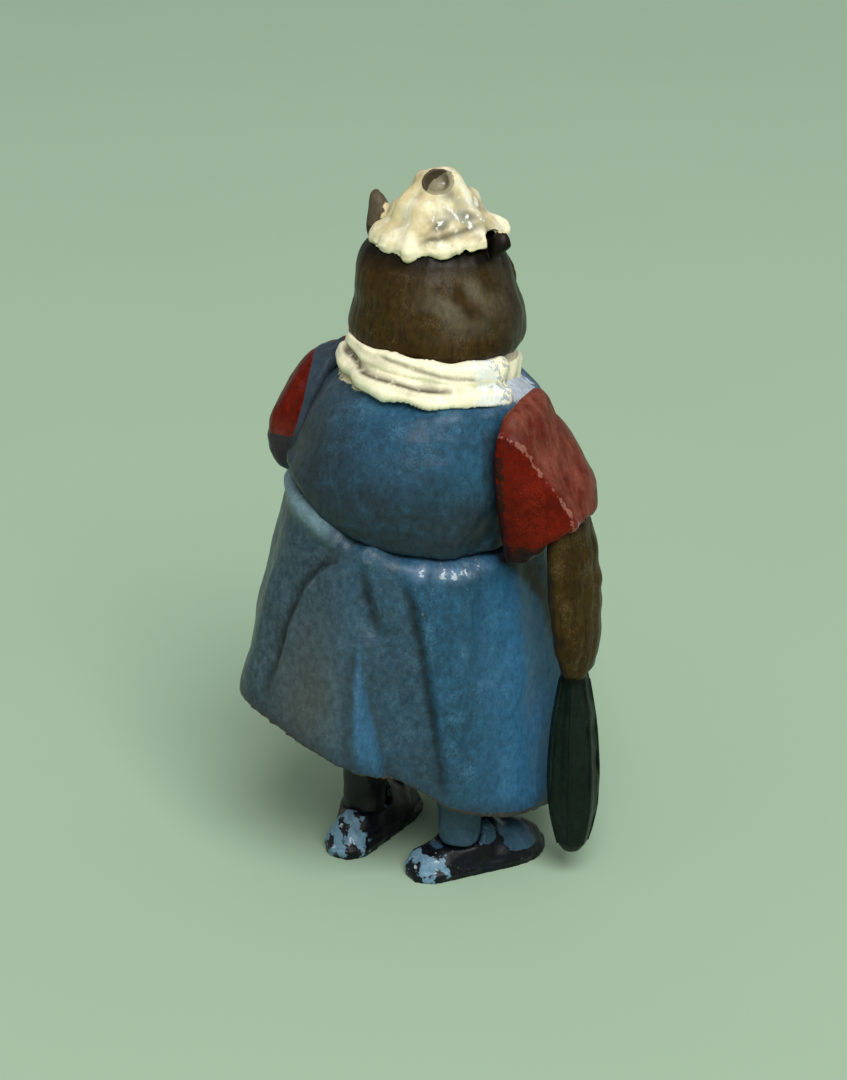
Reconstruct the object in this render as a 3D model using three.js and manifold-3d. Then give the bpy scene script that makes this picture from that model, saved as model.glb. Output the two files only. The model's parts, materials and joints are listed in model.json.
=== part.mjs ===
// A painted, hollow-cast lead toy: an owl in a long coat, a mob cap and a kerchief, with an umbrella.
// Millimetres, +Z up. The owl faces -Y, its right wing is at -X, and its soles stand on Z = 0.
import * as THREE from "three";
import { mergeVertices } from "three/addons/utils/BufferGeometryUtils.js";
import Module from "manifold-3d";

const wasm = await Module();
wasm.setup();

const TURN = Math.PI * 2;
const SIDES = 48; // facets round the bodice and the kerchief
const SKIRT_SIDES = 84;

// Fits and walls
const CLEARANCE = 0.3; // gap between pieces that seat on each other
const COAT_WALL = 1.3; // thickness of the hollow casting
const RIM_WALL = 0.7; // thickness of the bodice at its rim

// Coat. Lists of eight go round the figure: back, back right, right, front right, front,
// front left, left, back left, as the owl sees it. A reach is measured from its middle line.
// The heights of the upper body hang from the neck, so that it can be raised or lowered as one.
const NECK_HEIGHT = 41.0;
const NECK_RADIUS = 4.3;
const BODICE_HEIGHT = 7.8; // from the top of the skirt to the neck
const SKIRT_TOP = NECK_HEIGHT - BODICE_HEIGHT;
const SKIRT_FLARE = 0.62; // below 1 the skirt widens most near the waist
const WAIST_REACH = [9.0, 7.7, 6.0, 6.2, 5.6, 6.8, 8.2, 9.9];
const HEM_REACH = [14.2, 11.4, 9.6, 11.6, 10.4, 12.0, 13.0, 15.6];
const HEM_HEIGHT = [12.2, 7.4, 5.2, 4.8, 5.0, 6.4, 10.8, 14.6];
const WAIST_DROP = [5.0, 6.6, 7.0, 7.2, 6.8, 5.2, 2.2, 2.0]; // of the waistline, below the skirt's top
const SHELF_DEPTH = 1.6; // at the waistline the skirt steps in by this, and the bodice stands on the step
const SHELF_HEIGHT = 0.6;
const RIM_SETBACK = 0.5; // from the skirt's outside to the bodice's rim on the step
const CHEST_HEIGHT = SKIRT_TOP + 0.6;
const CHEST_REACH = [11.0, 9.9, 8.4, 8.3, 7.4, 8.3, 9.2, 10.9];
const SHOULDER_HEIGHT = NECK_HEIGHT - 2.6;
const SHOULDER_REACH = [8.6, 8.6, 8.5, 7.4, 6.0, 7.2, 8.2, 8.6];
const PLEAT_DEPTH = 1.7;
const PLATE_HEIGHT = 15.4; // underside of the plate that closes the hollow skirt
const PLATE_THICKNESS = 1.2;

// Neck: the head's plug stands in a socket in the bodice.
const PLUG_RADIUS = 2.4;
const SOCKET_WALL = 1.1;
const SOCKET_LIFT = 1.5; // from the skirt's top to the socket's lower end
const PLUG_LENGTH = BODICE_HEIGHT - SOCKET_LIFT - CLEARANCE;

// Head and cap
const HEAD_BOTTOM = NECK_HEIGHT + CLEARANCE;
const HEAD_HEIGHT = 10.6;
const HEAD_RADIUS = 6.6;
const TUFT_SPACING = 10.8;
const TUFT_RADIUS = 1.1;
const LEFT_TUFT_HEIGHT = 3.8;
const RIGHT_TUFT_HEIGHT = 2.6;
const BRIM_HEIGHT = HEAD_BOTTOM + HEAD_HEIGHT * 0.783; // where the cap sits on the head
const BRIM_RADIUS = 5.45;
const CAP_HEIGHT = 5.4;
const CAP_TOP = BRIM_HEIGHT + CAP_HEIGHT;
const PEAK_RADIUS = 1.7;
const VENT_RADIUS = 1.1; // casting recess behind the peak of the cap

// Kerchief
const ROLL_RADIUS = 1.3;
const ROLL_REACH = [6.2, 6.2, 6.1, 6.2, 5.5, 5.7, 5.9, 5.9];
const ROLL_LIFT = [0.4, 0.1, -0.1, -0.9, -2.3, -1.1, 0.4, 0.6]; // above the neck
const SECOND_ROLL_OUT = 0.8;
const SECOND_ROLL_DROP = 1.6;

// Arms. The right arm turns on a peg that is cast on the shoulder.
const PEG_RADIUS = 1.0;
const PEG_LENGTH = 1.5;
const PEG_HEIGHT = SHOULDER_HEIGHT - 1.8;
const PEG_Y = 2.5;
const ARM_PLANE = 8.6; // from the middle line to the flat inner side of the right sleeve

// Umbrella: its stick runs from the tip by the shoe to the knob at the inside of the wing.
const TIP = [-HEM_REACH[2] - 2.8, -0.7, 2.3];
const CANOPY_LENGTH = 14.6;
const CANOPY_RADIUS = 2.0;
const STICK_RADIUS = 0.5;
const KNOB_RADIUS = 0.9;
const WING_LOW = TIP[2] + CANOPY_LENGTH; // the right wing ends on the canopy
const WING_HIGH = PEG_HEIGHT - 5.8; // and in the sleeve's cuff
const KNOB = [-ARM_PLANE - 2.4, -2.8, (WING_LOW + WING_HIGH) / 2];

// Feet: where each heel stands, and how far its toes turn out, in degrees.
const RIGHT_HEEL = [-2.5, 7.0];
const RIGHT_TOE_OUT = 24;
const LEFT_HEEL = [4.0, 7.7];
const LEFT_TOE_OUT = 9;
const SHOE_LENGTH = 12;
const SHOE_WIDTH = 5;
const LEG_RADIUS = 1.7;
const LEG_SETBACK = 4.4; // from the heel to the middle of the ankle
const LEG_BOTTOM = 2.6;

const deg = THREE.MathUtils.degToRad;
const mix = THREE.MathUtils.lerp;
const ease = (x) => THREE.MathUtils.smoothstep(x, 0, 1);
const bell = (x, width) => Math.exp(-((x / width) ** 2));
const wrapped = (angle) => Math.atan2(Math.sin(angle), Math.cos(angle));
const point = (x, y, z) => new THREE.Vector3(x, y, z);
const steps = (count, from = 0, to = 1) =>
  Array.from({ length: count + 1 }, (_, i) => mix(from, to, i / count));

// Cutting and joining of closed solids
function solidOf(geometry) {
  const bare = geometry.clone();
  bare.deleteAttribute("normal");
  bare.deleteAttribute("uv");
  const merged = mergeVertices(bare, 1e-4);
  const faces = [];
  for (let i = 0; i < merged.index.count; i += 3) {
    const [a, b, c] = [0, 1, 2].map((k) => merged.index.getX(i + k));
    if (a !== b && b !== c && c !== a) faces.push(a, b, c);
  }
  return new wasm.Manifold(new wasm.Mesh({
    numProp: 3,
    vertProperties: new Float32Array(merged.attributes.position.array),
    triVerts: new Uint32Array(faces),
  }));
}

function geometryOf(solid) {
  const mesh = solid.getMesh();
  const geometry = new THREE.BufferGeometry();
  geometry.setAttribute("position", new THREE.BufferAttribute(new Float32Array(mesh.vertProperties), 3));
  geometry.setIndex(Array.from(mesh.triVerts));
  return geometry;
}

const joined = (first, ...more) =>
  geometryOf(more.reduce((sum, g) => sum.add(solidOf(g)), solidOf(first)));
const cut = (first, ...more) =>
  geometryOf(more.reduce((sum, g) => sum.subtract(solidOf(g)), solidOf(first)));

// A value that changes smoothly round the figure, from its values at even steps of a turn.
function around(values) {
  const n = values.length;
  return (angle) => {
    const place = ((((angle / TURN) % 1) + 1) % 1) * n;
    const i = Math.floor(place);
    const t = place - i;
    const [a, b, c, d] = [n - 1, 0, 1, 2].map((k) => values[(i + k) % n]);
    return b + 0.5 * t * (c - a + t * (2 * a - 5 * b + 4 * c - d + t * (3 * (b - c) + d - a)));
  };
}

// A closed skin over rings of points, listed up the outside and down the inside.
// A ring of one point closes an end; without such ends the last ring joins the first.
function skin(rings) {
  const sides = Math.max(...rings.map((one) => one.length));
  const start = rings.map((_, i) => rings.slice(0, i).flat().length);
  const at = (i, j) => start[i] + (j % rings[i].length);
  const faces = [];
  const bands = rings[0].length === 1 ? rings.length - 1 : rings.length;
  for (let i = 0; i < bands; i += 1) {
    const next = (i + 1) % rings.length;
    for (let j = 0; j < sides; j += 1) {
      if (rings[i].length > 1) faces.push(at(i, j), at(i, j + 1), at(next, j + 1));
      if (rings[next].length > 1) faces.push(at(i, j), at(next, j + 1), at(next, j));
    }
  }
  const geometry = new THREE.BufferGeometry();
  const corners = rings.flat().flatMap((p) => p.toArray());
  geometry.setAttribute("position", new THREE.Float32BufferAttribute(corners, 3));
  geometry.setIndex(faces);
  return geometry;
}

// One ring round the middle line. Reach and height are numbers, or depend on the angle from the back.
function ring(reach, height, sides = SIDES) {
  const value = (given, angle) => (typeof given === "function" ? given(angle) : given);
  return Array.from({ length: sides }, (_, j) => {
    const angle = (j / sides) * TURN;
    const r = value(reach, angle);
    return point(-r * Math.sin(angle), r * Math.cos(angle), value(height, angle));
  });
}

// A skin of oval rings along a curve. A station is a place and two half-widths: across the limb and
// along "facing". The ends close on the first and last place.
function limb(stations, facing, grow = 0, sides = 20, rounds = 12) {
  const path = new THREE.CatmullRomCurve3(stations.map((s) => point(s[0], s[1], s[2])));
  const widths = new THREE.CatmullRomCurve3(stations.map((s) => point(s[3], s[4], 0)));
  const rings = steps(rounds).map((t) => {
    const at = path.getPoint(t);
    const half = widths.getPoint(t);
    const ahead = path.getTangent(t);
    const u = facing.clone().cross(ahead).normalize();
    const v = ahead.clone().cross(u);
    return Array.from({ length: sides }, (_, j) => {
      const angle = (j / sides) * TURN;
      return at.clone()
        .addScaledVector(u, (half.x + grow) * Math.cos(angle))
        .addScaledVector(v, (half.y + grow) * Math.sin(angle));
    });
  });
  const first = path.getPoint(0).addScaledVector(path.getTangent(0), -grow);
  const last = path.getPoint(1).addScaledVector(path.getTangent(1), grow);
  return skin([[first], ...rings, [last]]);
}

function block(x0, x1, y0, y1, z0, z1) {
  const box = new THREE.BoxGeometry(x1 - x0, y1 - y0, z1 - z0);
  return box.translate((x0 + x1) / 2, (y0 + y1) / 2, (z0 + z1) / 2);
}

function ball(radius, x, y, z, flat = [1, 1, 1]) {
  return new THREE.SphereGeometry(radius, 16, 10).scale(...flat).translate(x, y, z);
}

// Skirt of the coat: share is 0 at its top, inside the bodice, and 1 at the hem.
const waistReach = around(WAIST_REACH);
const hemReach = around(HEM_REACH);
const hemHeight = around(HEM_HEIGHT);

function skirtFolds(angle, share) {
  // A pressed pleat down the back: from a ridge a flat side falls to a groove on its right. Both the
  // fall and the flat side grow toward the hem.
  const fromRidge = wrapped(angle - deg(7));
  const flat = deg(3 + 12 * share);
  const side = fromRidge < flat ? Math.max(fromRidge, 0) / flat : bell(fromRidge - flat, deg(26));
  const pleat = -PLEAT_DEPTH * side * ease((share - 0.3) / 0.7);
  // Rounder hollows on the right and the left, and a slight sway all round
  const right = -0.5 * bell(wrapped(angle - deg(62 - 14 * share)), deg(7)) * ease(share * 2);
  const left = -0.5 * bell(wrapped(angle + deg(38 + 10 * share)), deg(8)) * ease(share * 2);
  const sway = 0.2 * Math.sin(angle * 9 + 1) * share;
  return pleat + right + left + sway;
}

const skirtReach = (angle, share) =>
  mix(waistReach(angle), hemReach(angle), share ** SKIRT_FLARE) + skirtFolds(angle, share);
const waistHeight = around(WAIST_DROP.map((drop) => SKIRT_TOP - drop));
const skirtShareAt = (angle, height) => (SKIRT_TOP - height) / (SKIRT_TOP - hemHeight(angle));
const skirtReachAt = (angle, height) => skirtReach(angle, Math.max(0, skirtShareAt(angle, height)));
const waistlineReach = (angle) => skirtReachAt(angle, waistHeight(angle));

// The skirt's rings from the hem up to the waistline, over the step, and up inside the bodice
function skirtRings(rounds, inset, drop) {
  const flare = steps(rounds).map((up) => ring(
    (angle) => skirtReachAt(angle, mix(hemHeight(angle), waistHeight(angle), up)) - inset,
    (angle) => mix(hemHeight(angle), waistHeight(angle) - drop, up),
    SKIRT_SIDES,
  ));
  const step = [[0.3, 0.75], [1, 1]].map(([back, up]) => ring(
    (angle) => waistlineReach(angle) - SHELF_DEPTH * back - inset,
    (angle) => waistHeight(angle) + SHELF_HEIGHT * up - drop,
    SKIRT_SIDES,
  ));
  const top = ring((angle) => waistReach(angle) - SHELF_DEPTH - inset, SKIRT_TOP - drop, SKIRT_SIDES);
  return [...flare, ...step, top];
}

function coatSkirt() {
  return skin([
    [point(0, 0, SKIRT_TOP - COAT_WALL)],
    ...skirtRings(6, COAT_WALL, COAT_WALL).reverse(),
    ...skirtRings(12, 0, 0),
    [point(0, 0, SKIRT_TOP)],
  ]);
}

// The skirt as a full solid, grown all round, to cut a seat in what lies on it
function skirtSeat() {
  return skin([
    [point(0, 0, 0)],
    ring((angle) => skirtReach(angle, 1) + CLEARANCE, 0, SKIRT_SIDES),
    ...skirtRings(12, -CLEARANCE, -CLEARANCE),
    [point(0, 0, SKIRT_TOP + CLEARANCE)],
  ]);
}

function skirtPlate() {
  const ceiling = SKIRT_TOP - COAT_WALL;
  const top = PLATE_HEIGHT + PLATE_THICKNESS;
  const edge = (angle) => {
    const share = (ceiling - top) / (ceiling - hemHeight(angle));
    return skirtReach(angle, share) - COAT_WALL - CLEARANCE;
  };
  return skin([
    [point(0, 0, PLATE_HEIGHT)],
    ring(edge, PLATE_HEIGHT),
    ring(edge, top),
    [point(0, 0, top)],
  ]);
}

// Bodice of the coat: share is 0 at the rim over the skirt and 1 at the neck.
const chestReach = around(CHEST_REACH);
const shoulderReach = around(SHOULDER_REACH);

const rimHeight = (angle) => waistHeight(angle) + SHELF_HEIGHT + CLEARANCE;

function bodiceCurve(angle) {
  const rim = rimHeight(angle);
  return new THREE.CatmullRomCurve3([
    point(waistlineReach(angle) - RIM_SETBACK, 0, rim),
    point(waistlineReach(angle) + 0.2, 0, mix(rim, CHEST_HEIGHT, 0.4)),
    point(chestReach(angle), 0, CHEST_HEIGHT),
    point(shoulderReach(angle), 0, SHOULDER_HEIGHT),
    point(NECK_RADIUS, 0, NECK_HEIGHT),
  ]);
}

function bodiceRing(share, inset, lift) {
  return Array.from({ length: SIDES }, (_, j) => {
    const angle = (j / SIDES) * TURN;
    const at = bodiceCurve(angle).getPoint(share);
    const r = at.x - inset;
    const side = -(ARM_PLANE - CLEARANCE) + inset;
    return point(Math.max(-r * Math.sin(angle), side), r * Math.cos(angle), at.z + lift);
  });
}

// The peg that the right arm turns on, or its hole when grown
function shoulderPeg(grow) {
  const inner = ARM_PLANE - 2.5;
  const outer = ARM_PLANE + PEG_LENGTH + grow;
  const peg = new THREE.CylinderGeometry(PEG_RADIUS + grow, PEG_RADIUS + grow, outer - inner, 24);
  return peg.rotateZ(Math.PI / 2).translate(-(inner + outer) / 2, PEG_Y, PEG_HEIGHT);
}

function coatBodice() {
  const bore = PLUG_RADIUS + CLEARANCE;
  const tube = bore + SOCKET_WALL;
  const tubeEnd = NECK_HEIGHT - PLUG_LENGTH - CLEARANCE;
  const shell = skin([
    ...steps(12).map((share) => bodiceRing(share, 0, 0)),
    ring(bore, NECK_HEIGHT),
    ring(bore, tubeEnd),
    ring(tube, tubeEnd),
    ring(tube, SHOULDER_HEIGHT - COAT_WALL),
    ...steps(9, 0.74, 0.22).map((share) => bodiceRing(share, COAT_WALL, -COAT_WALL / 2)),
    ring((angle) => waistReach(angle) - SHELF_DEPTH + CLEARANCE, SKIRT_TOP + CLEARANCE),
    bodiceRing(0, RIM_WALL, 0),
  ]);
  return joined(shell, shoulderPeg(0));
}

// The bodice as a full solid, grown all round
function bodiceSeat() {
  return skin([
    [point(0, 0, rimHeight(0))],
    ...steps(12).map((share) => bodiceRing(share, -CLEARANCE, CLEARANCE * share)),
    [point(0, 0, NECK_HEIGHT + CLEARANCE)],
  ]);
}

// Head: bell-shaped, widest low down, with a plug below, ear tufts, eye discs and a beak
const headCurve = new THREE.CatmullRomCurve3([
  point(PLUG_RADIUS + 1.4, 0, 0),
  point(HEAD_RADIUS * 0.92, 0, HEAD_HEIGHT * 0.035),
  point(HEAD_RADIUS * 0.995, 0, HEAD_HEIGHT * 0.1),
  point(HEAD_RADIUS, 0, HEAD_HEIGHT * 0.22),
  point(HEAD_RADIUS * 0.92, 0, HEAD_HEIGHT * 0.45),
  point(HEAD_RADIUS * 0.78, 0, HEAD_HEIGHT * 0.69),
  point(HEAD_RADIUS * 0.6, 0, HEAD_HEIGHT * 0.83),
  point(HEAD_RADIUS * 0.36, 0, HEAD_HEIGHT * 0.94),
  point(0.6, 0, HEAD_HEIGHT),
]);

function tuft(side, grow) {
  const height = side > 0 ? LEFT_TUFT_HEIGHT : RIGHT_TUFT_HEIGHT;
  const flat = [0.85 * TUFT_RADIUS + grow, 0.7 * TUFT_RADIUS + grow, 0.6 * height + grow];
  const ear = ball(1, 0, 0, 0, flat).translate(0, 0, 0.4 * height).rotateY(deg(10 * side));
  return ear.translate((side * TUFT_SPACING) / 2 - side * 0.2, -0.3, HEAD_BOTTOM + HEAD_HEIGHT * 0.68);
}

function headBody(grow) {
  const rings = steps(14).map((share) => {
    const at = headCurve.getPoint(share);
    return ring(at.x + grow, HEAD_BOTTOM + at.z + (share > 0.5 ? grow : 0), 48);
  });
  return skin([[point(0, 0, HEAD_BOTTOM)], ...rings, [point(0, 0, HEAD_BOTTOM + HEAD_HEIGHT + grow)]]);
}

function head() {
  const low = HEAD_BOTTOM - PLUG_LENGTH;
  const plug = new THREE.CylinderGeometry(PLUG_RADIUS, PLUG_RADIUS, PLUG_LENGTH + 1, 40);
  plug.rotateX(Math.PI / 2).translate(0, 0, low + (PLUG_LENGTH + 1) / 2);
  const eyeHeight = HEAD_BOTTOM + HEAD_HEIGHT * 0.47;
  const front = -HEAD_RADIUS * 0.84;
  const face = [-1, 1].flatMap((side) => [
    ball(1.85, side * 1.8, front + 0.4, eyeHeight, [1, 0.5, 1.1]),
    ball(0.85, side * 1.85, front - 0.4, eyeHeight + 0.2, [1, 0.7, 1]),
  ]);
  const beak = limb([
    [0, front - 0.1, eyeHeight + 0.7, 0.5, 0.5],
    [0, front - 0.9, eyeHeight - 0.6, 0.7, 0.7],
    [0, front - 1.2, eyeHeight - 1.9, 0.45, 0.5],
    [0, front - 0.9, eyeHeight - 2.7, 0.12, 0.12],
  ], point(0, 1, 0), 0, 12, 8);
  return joined(headBody(0), plug, ...face, beak, tuft(-1, 0), tuft(1, 0));
}

// Cap: a cup over the head with a flared frill. It is cut to sit on the head and round the tufts.
function cap() {
  const rise = CAP_TOP - BRIM_HEIGHT;
  const profile = new THREE.CatmullRomCurve3([
    point(BRIM_RADIUS, 0, rise * 0.05),
    point(BRIM_RADIUS * 0.94, 0, rise * 0.15),
    point(BRIM_RADIUS * 0.8, 0, rise * 0.33),
    point(BRIM_RADIUS * 0.6, 0, rise * 0.57),
    point(PEAK_RADIUS * 1.25, 0, rise * 0.79),
    point(PEAK_RADIUS, 0, rise * 0.9),
    point(PEAK_RADIUS * 0.4, 0, rise),
  ]);
  const frill = (angle, share) => 0.22 * Math.sin(angle * 11) * (1 - share) ** 3;
  const shell = skin([
    [point(0, 0, BRIM_HEIGHT)],
    ring(BRIM_RADIUS * 0.8, BRIM_HEIGHT - 0.1),
    ring((angle) => BRIM_RADIUS - 0.25 + frill(angle, 0), BRIM_HEIGHT - 0.3),
    ...steps(9).map((share) => {
      const at = profile.getPoint(share);
      return ring((angle) => at.x + frill(angle, share), BRIM_HEIGHT + at.z);
    }),
    [point(0, 0, CAP_TOP)],
  ]);
  const ventAngle = deg(36);
  const vent = ball(
    VENT_RADIUS, -PEAK_RADIUS * Math.sin(ventAngle), PEAK_RADIUS * Math.cos(ventAngle), CAP_TOP - 0.5,
  );
  return cut(shell, headBody(CLEARANCE), tuft(-1, CLEARANCE), tuft(1, CLEARANCE), vent);
}

// All that lies between two planes beside the right arm
const armBlock = (x0, x1) => block(x0, x1, -ARM_PLANE * 3, ARM_PLANE * 3, 0, CAP_TOP);

// Kerchief: two rolls round the neck, cut to lie on the bodice and to let the head turn
const rollReach = around(ROLL_REACH);
const rollHeight = around(ROLL_LIFT.map((lift) => NECK_HEIGHT + lift));

function roll(out, drop, radius) {
  return skin(Array.from({ length: 10 }, (_, i) => {
    const turn = (i / 10) * TURN;
    return ring(
      (angle) => rollReach(angle) + out + radius * Math.cos(turn),
      (angle) => rollHeight(angle) - drop + radius * Math.sin(turn),
    );
  }));
}

const kerchiefRolls = (grow) =>
  joined(roll(0, 0, ROLL_RADIUS + grow), roll(SECOND_ROLL_OUT, SECOND_ROLL_DROP, ROLL_RADIUS + grow));

function kerchief() {
  const armSide = armBlock(-ARM_PLANE * 3, -ARM_PLANE + CLEARANCE);
  return cut(kerchiefRolls(0), bodiceSeat(), shoulderPeg(CLEARANCE), headBody(CLEARANCE), armSide);
}

function kerchiefKnot() {
  const front = -ROLL_REACH[4] - SECOND_ROLL_OUT - ROLL_RADIUS;
  const height = NECK_HEIGHT + ROLL_LIFT[4] - SECOND_ROLL_DROP;
  const tail = (side) => limb([
    [0, front - 0.2, height, 0.8, 0.8],
    [side * 0.9, front - 0.5, height - 1.8, 1.0, 0.8],
    [side * 1.7, front - 0.7, height - 3.8, 1.4, 0.8],
    [side * 2.1, front - 0.7, height - 5.0, 1.5, 0.7],
  ], point(0, 1, 0), 0, 16, 10);
  const knot = ball(1.5, 0, front - 0.1, height, [1, 0.9, 0.9]);
  return cut(joined(knot, tail(-1), tail(1)), kerchiefRolls(CLEARANCE), bodiceSeat());
}

// Right arm: puffed sleeve with a flat inner side, and a wing socketed in its cuff
const fore = point(0, 1, 0);

// A place on the right arm, measured out from its inner side
const outFromArm = (out, y, z, ...half) => [-ARM_PLANE - out, y, z, ...half];

function rightWing(grow) {
  const up = (share) => mix(WING_LOW, WING_HIGH, share);
  return limb([
    outFromArm(3.6, -1.6, up(0), 0.6, 0.8),
    outFromArm(3.6, -1.5, up(0.06), 1.2, 1.8),
    outFromArm(3.6, -1.2, up(0.26), 1.5, 2.5),
    outFromArm(3.5, -0.9, up(0.58), 1.55, 2.9),
    outFromArm(3.2, -0.5, up(0.87), 1.3, 2.5),
    outFromArm(3.1, -0.4, up(1), 1.0, 1.9),
  ], fore, grow);
}

function rightSleeve() {
  const puff = limb([
    outFromArm(1.0, PEG_Y - 3.0, PEG_HEIGHT - 8.4, 3.6, 3.2),
    outFromArm(0.6, PEG_Y - 2.9, PEG_HEIGHT - 7.6, 4.6, 4.4),
    outFromArm(0.4, PEG_Y - 2.7, PEG_HEIGHT - 5.0, 4.1, 4.9),
    outFromArm(0.3, PEG_Y - 1.8, PEG_HEIGHT - 2.2, 3.6, 4.5),
    outFromArm(0.3, PEG_Y - 1.3, PEG_HEIGHT + 0.2, 2.8, 3.7),
    outFromArm(0.3, PEG_Y - 1.6, PEG_HEIGHT + 2.2, 1.5, 2.3),
    outFromArm(0.3, PEG_Y - 1.5, PEG_HEIGHT + 3.0, 0.7, 1.1),
  ], fore);
  const inner = armBlock(-ARM_PLANE, 0);
  return cut(puff, inner, shoulderPeg(CLEARANCE), rightWing(CLEARANCE));
}

// Left arm: the elbow stands out to the back and the wing comes forward to the skirt
const fromLeftShoulder = (out, y, drop, ...half) =>
  [SHOULDER_REACH[6] + out, y, SHOULDER_HEIGHT - drop, ...half];

function leftSleeve() {
  const puff = limb([
    fromLeftShoulder(0.2, 0.4, -1.6, 0.6, 0.9),
    fromLeftShoulder(0.7, 0.6, -0.6, 1.6, 2.4),
    fromLeftShoulder(1.8, 1.6, 2.0, 2.2, 3.4),
    fromLeftShoulder(2.7, 2.6, 4.8, 2.2, 3.5),
    fromLeftShoulder(2.8, 2.6, 6.6, 1.9, 2.8),
    fromLeftShoulder(2.7, 2.2, 7.4, 1.2, 1.9),
  ], fore);
  return cut(puff, bodiceSeat(), skirtSeat(), kerchiefRolls(CLEARANCE), leftWing(CLEARANCE));
}

function leftWing(grow) {
  return limb([
    fromLeftShoulder(3.0, 2.4, 6.0, 1.0, 1.2),
    fromLeftShoulder(3.2, 1.0, 7.4, 1.5, 1.7),
    fromLeftShoulder(3.4, -2.0, 9.8, 1.5, 2.2),
    fromLeftShoulder(2.8, -5.5, 12.8, 1.3, 2.2),
    fromLeftShoulder(1.8, -8.0, 15.6, 1.0, 1.5),
    fromLeftShoulder(1.4, -8.8, 16.8, 0.5, 0.7),
  ], point(0, 0, 1), grow);
}

// Umbrella, along a line from its tip to its knob
const tip = point(...TIP);
const stickLine = point(...KNOB).sub(tip);
const alongStick = (distance) => tip.clone().addScaledVector(stickLine.clone().normalize(), distance);

function setOnStick(geometry, from) {
  const stand = new THREE.Quaternion().setFromUnitVectors(point(0, 0, 1), stickLine.clone().normalize());
  return geometry.applyQuaternion(stand).translate(...alongStick(from).toArray());
}

function stick(grow) {
  const start = CANOPY_LENGTH - 4 - grow;
  const length = stickLine.length() - start;
  const rod = new THREE.CylinderGeometry(STICK_RADIUS + grow, STICK_RADIUS + grow, length, 16);
  return setOnStick(rod.rotateX(Math.PI / 2), start + length / 2);
}

function knob(grow) {
  return ball(KNOB_RADIUS + grow, ...KNOB);
}

function canopy(grow) {
  const curve = new THREE.CatmullRomCurve3([
    point(CANOPY_RADIUS * 0.3, 0, 0),
    point(CANOPY_RADIUS * 0.6, 0, CANOPY_LENGTH * 0.05),
    point(CANOPY_RADIUS * 0.95, 0, CANOPY_LENGTH * 0.25),
    point(CANOPY_RADIUS, 0, CANOPY_LENGTH * 0.5),
    point(CANOPY_RADIUS * 0.8, 0, CANOPY_LENGTH * 0.8),
    point(STICK_RADIUS + CLEARANCE + 0.3, 0, CANOPY_LENGTH),
  ]);
  const rings = steps(10).map((share) => {
    const at = curve.getPoint(share);
    const fold = (angle) => at.x * (1 - 0.05 * (1 + Math.cos(angle * 7))) + grow;
    return ring(fold, mix(at.z - grow, at.z + grow, share), 28);
  });
  return setOnStick(skin([[point(0, 0, -grow)], ...rings, [point(0, 0, CANOPY_LENGTH + grow)]]), 0);
}

// Feet: a leg socketed in a low shoe with a round heel and a flat sole
function foot(heel, toeOut, make) {
  return make().rotateZ(deg(toeOut)).translate(heel[0], heel[1], 0);
}

function leg(grow) {
  const bottom = LEG_BOTTOM - grow;
  const length = PLATE_HEIGHT - CLEARANCE - bottom;
  const post = new THREE.CylinderGeometry(LEG_RADIUS + grow, LEG_RADIUS + grow, length, 28);
  return post.rotateX(Math.PI / 2).translate(0, -LEG_SETBACK, bottom + length / 2);
}

function shoe() {
  const half = SHOE_WIDTH / 2;
  const stations = new THREE.CatmullRomCurve3([
    point(half * 0.3, 0, 0.6),
    point(half * 0.72, SHOE_LENGTH * 0.09, 2.0),
    point(half * 0.8, SHOE_LENGTH * 0.22, 2.6),
    point(half * 0.86, SHOE_LENGTH * 0.36, 4.0),
    point(half * 0.92, SHOE_LENGTH * 0.52, 3.8),
    point(half, SHOE_LENGTH * 0.7, 2.9),
    point(half * 0.85, SHOE_LENGTH * 0.88, 2.3),
    point(half * 0.3, SHOE_LENGTH, 0.7),
  ]);
  const rings = steps(13).map((share) => {
    const at = stations.getPoint(share);
    return Array.from({ length: 22 }, (_, j) => {
      const angle = (j / 22) * TURN;
      return point(at.x * Math.cos(angle), -at.y, Math.max(0, at.z * Math.sin(angle)));
    });
  });
  const body = skin([[point(0, 0, 0.2)], ...rings, [point(0, -SHOE_LENGTH, 0.25)]]);
  return cut(body, leg(CLEARANCE));
}

// Colours of the enamel
const CREAM = 0xf0e6bd;
const BROWN = 0x3f2f16;
const BLUE = 0x35566a;
const RED = 0x5a1a0c;
const GREEN = 0x1c2b20;
const BLACK = 0x10141a;
const OLIVE = 0x2e2c25;
const LEAD = 0x4a4c4e;

const pieces = {
  coat_skirt: [coatSkirt(), BLUE],
  skirt_plate: [skirtPlate(), LEAD],
  coat_bodice: [coatBodice(), BLUE],
  left_leg: [foot(LEFT_HEEL, LEFT_TOE_OUT, () => leg(0)), OLIVE],
  right_leg: [foot(RIGHT_HEEL, -RIGHT_TOE_OUT, () => leg(0)), OLIVE],
  left_shoe: [foot(LEFT_HEEL, LEFT_TOE_OUT, shoe), BLACK],
  right_shoe: [foot(RIGHT_HEEL, -RIGHT_TOE_OUT, shoe), BLACK],
  kerchief: [kerchief(), CREAM],
  kerchief_knot: [kerchiefKnot(), CREAM],
  head: [head(), BROWN],
  cap: [cap(), CREAM],
  left_sleeve: [leftSleeve(), RED],
  left_wing: [cut(leftWing(0), bodiceSeat(), skirtSeat()), BROWN],
  right_sleeve: [rightSleeve(), RED],
  right_wing: [cut(rightWing(0), stick(CLEARANCE), knob(CLEARANCE), canopy(CLEARANCE)), BROWN],
  umbrella_canopy: [cut(canopy(0), stick(CLEARANCE)), GREEN],
  umbrella_handle: [joined(stick(0), knob(0)), OLIVE],
};

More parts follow.
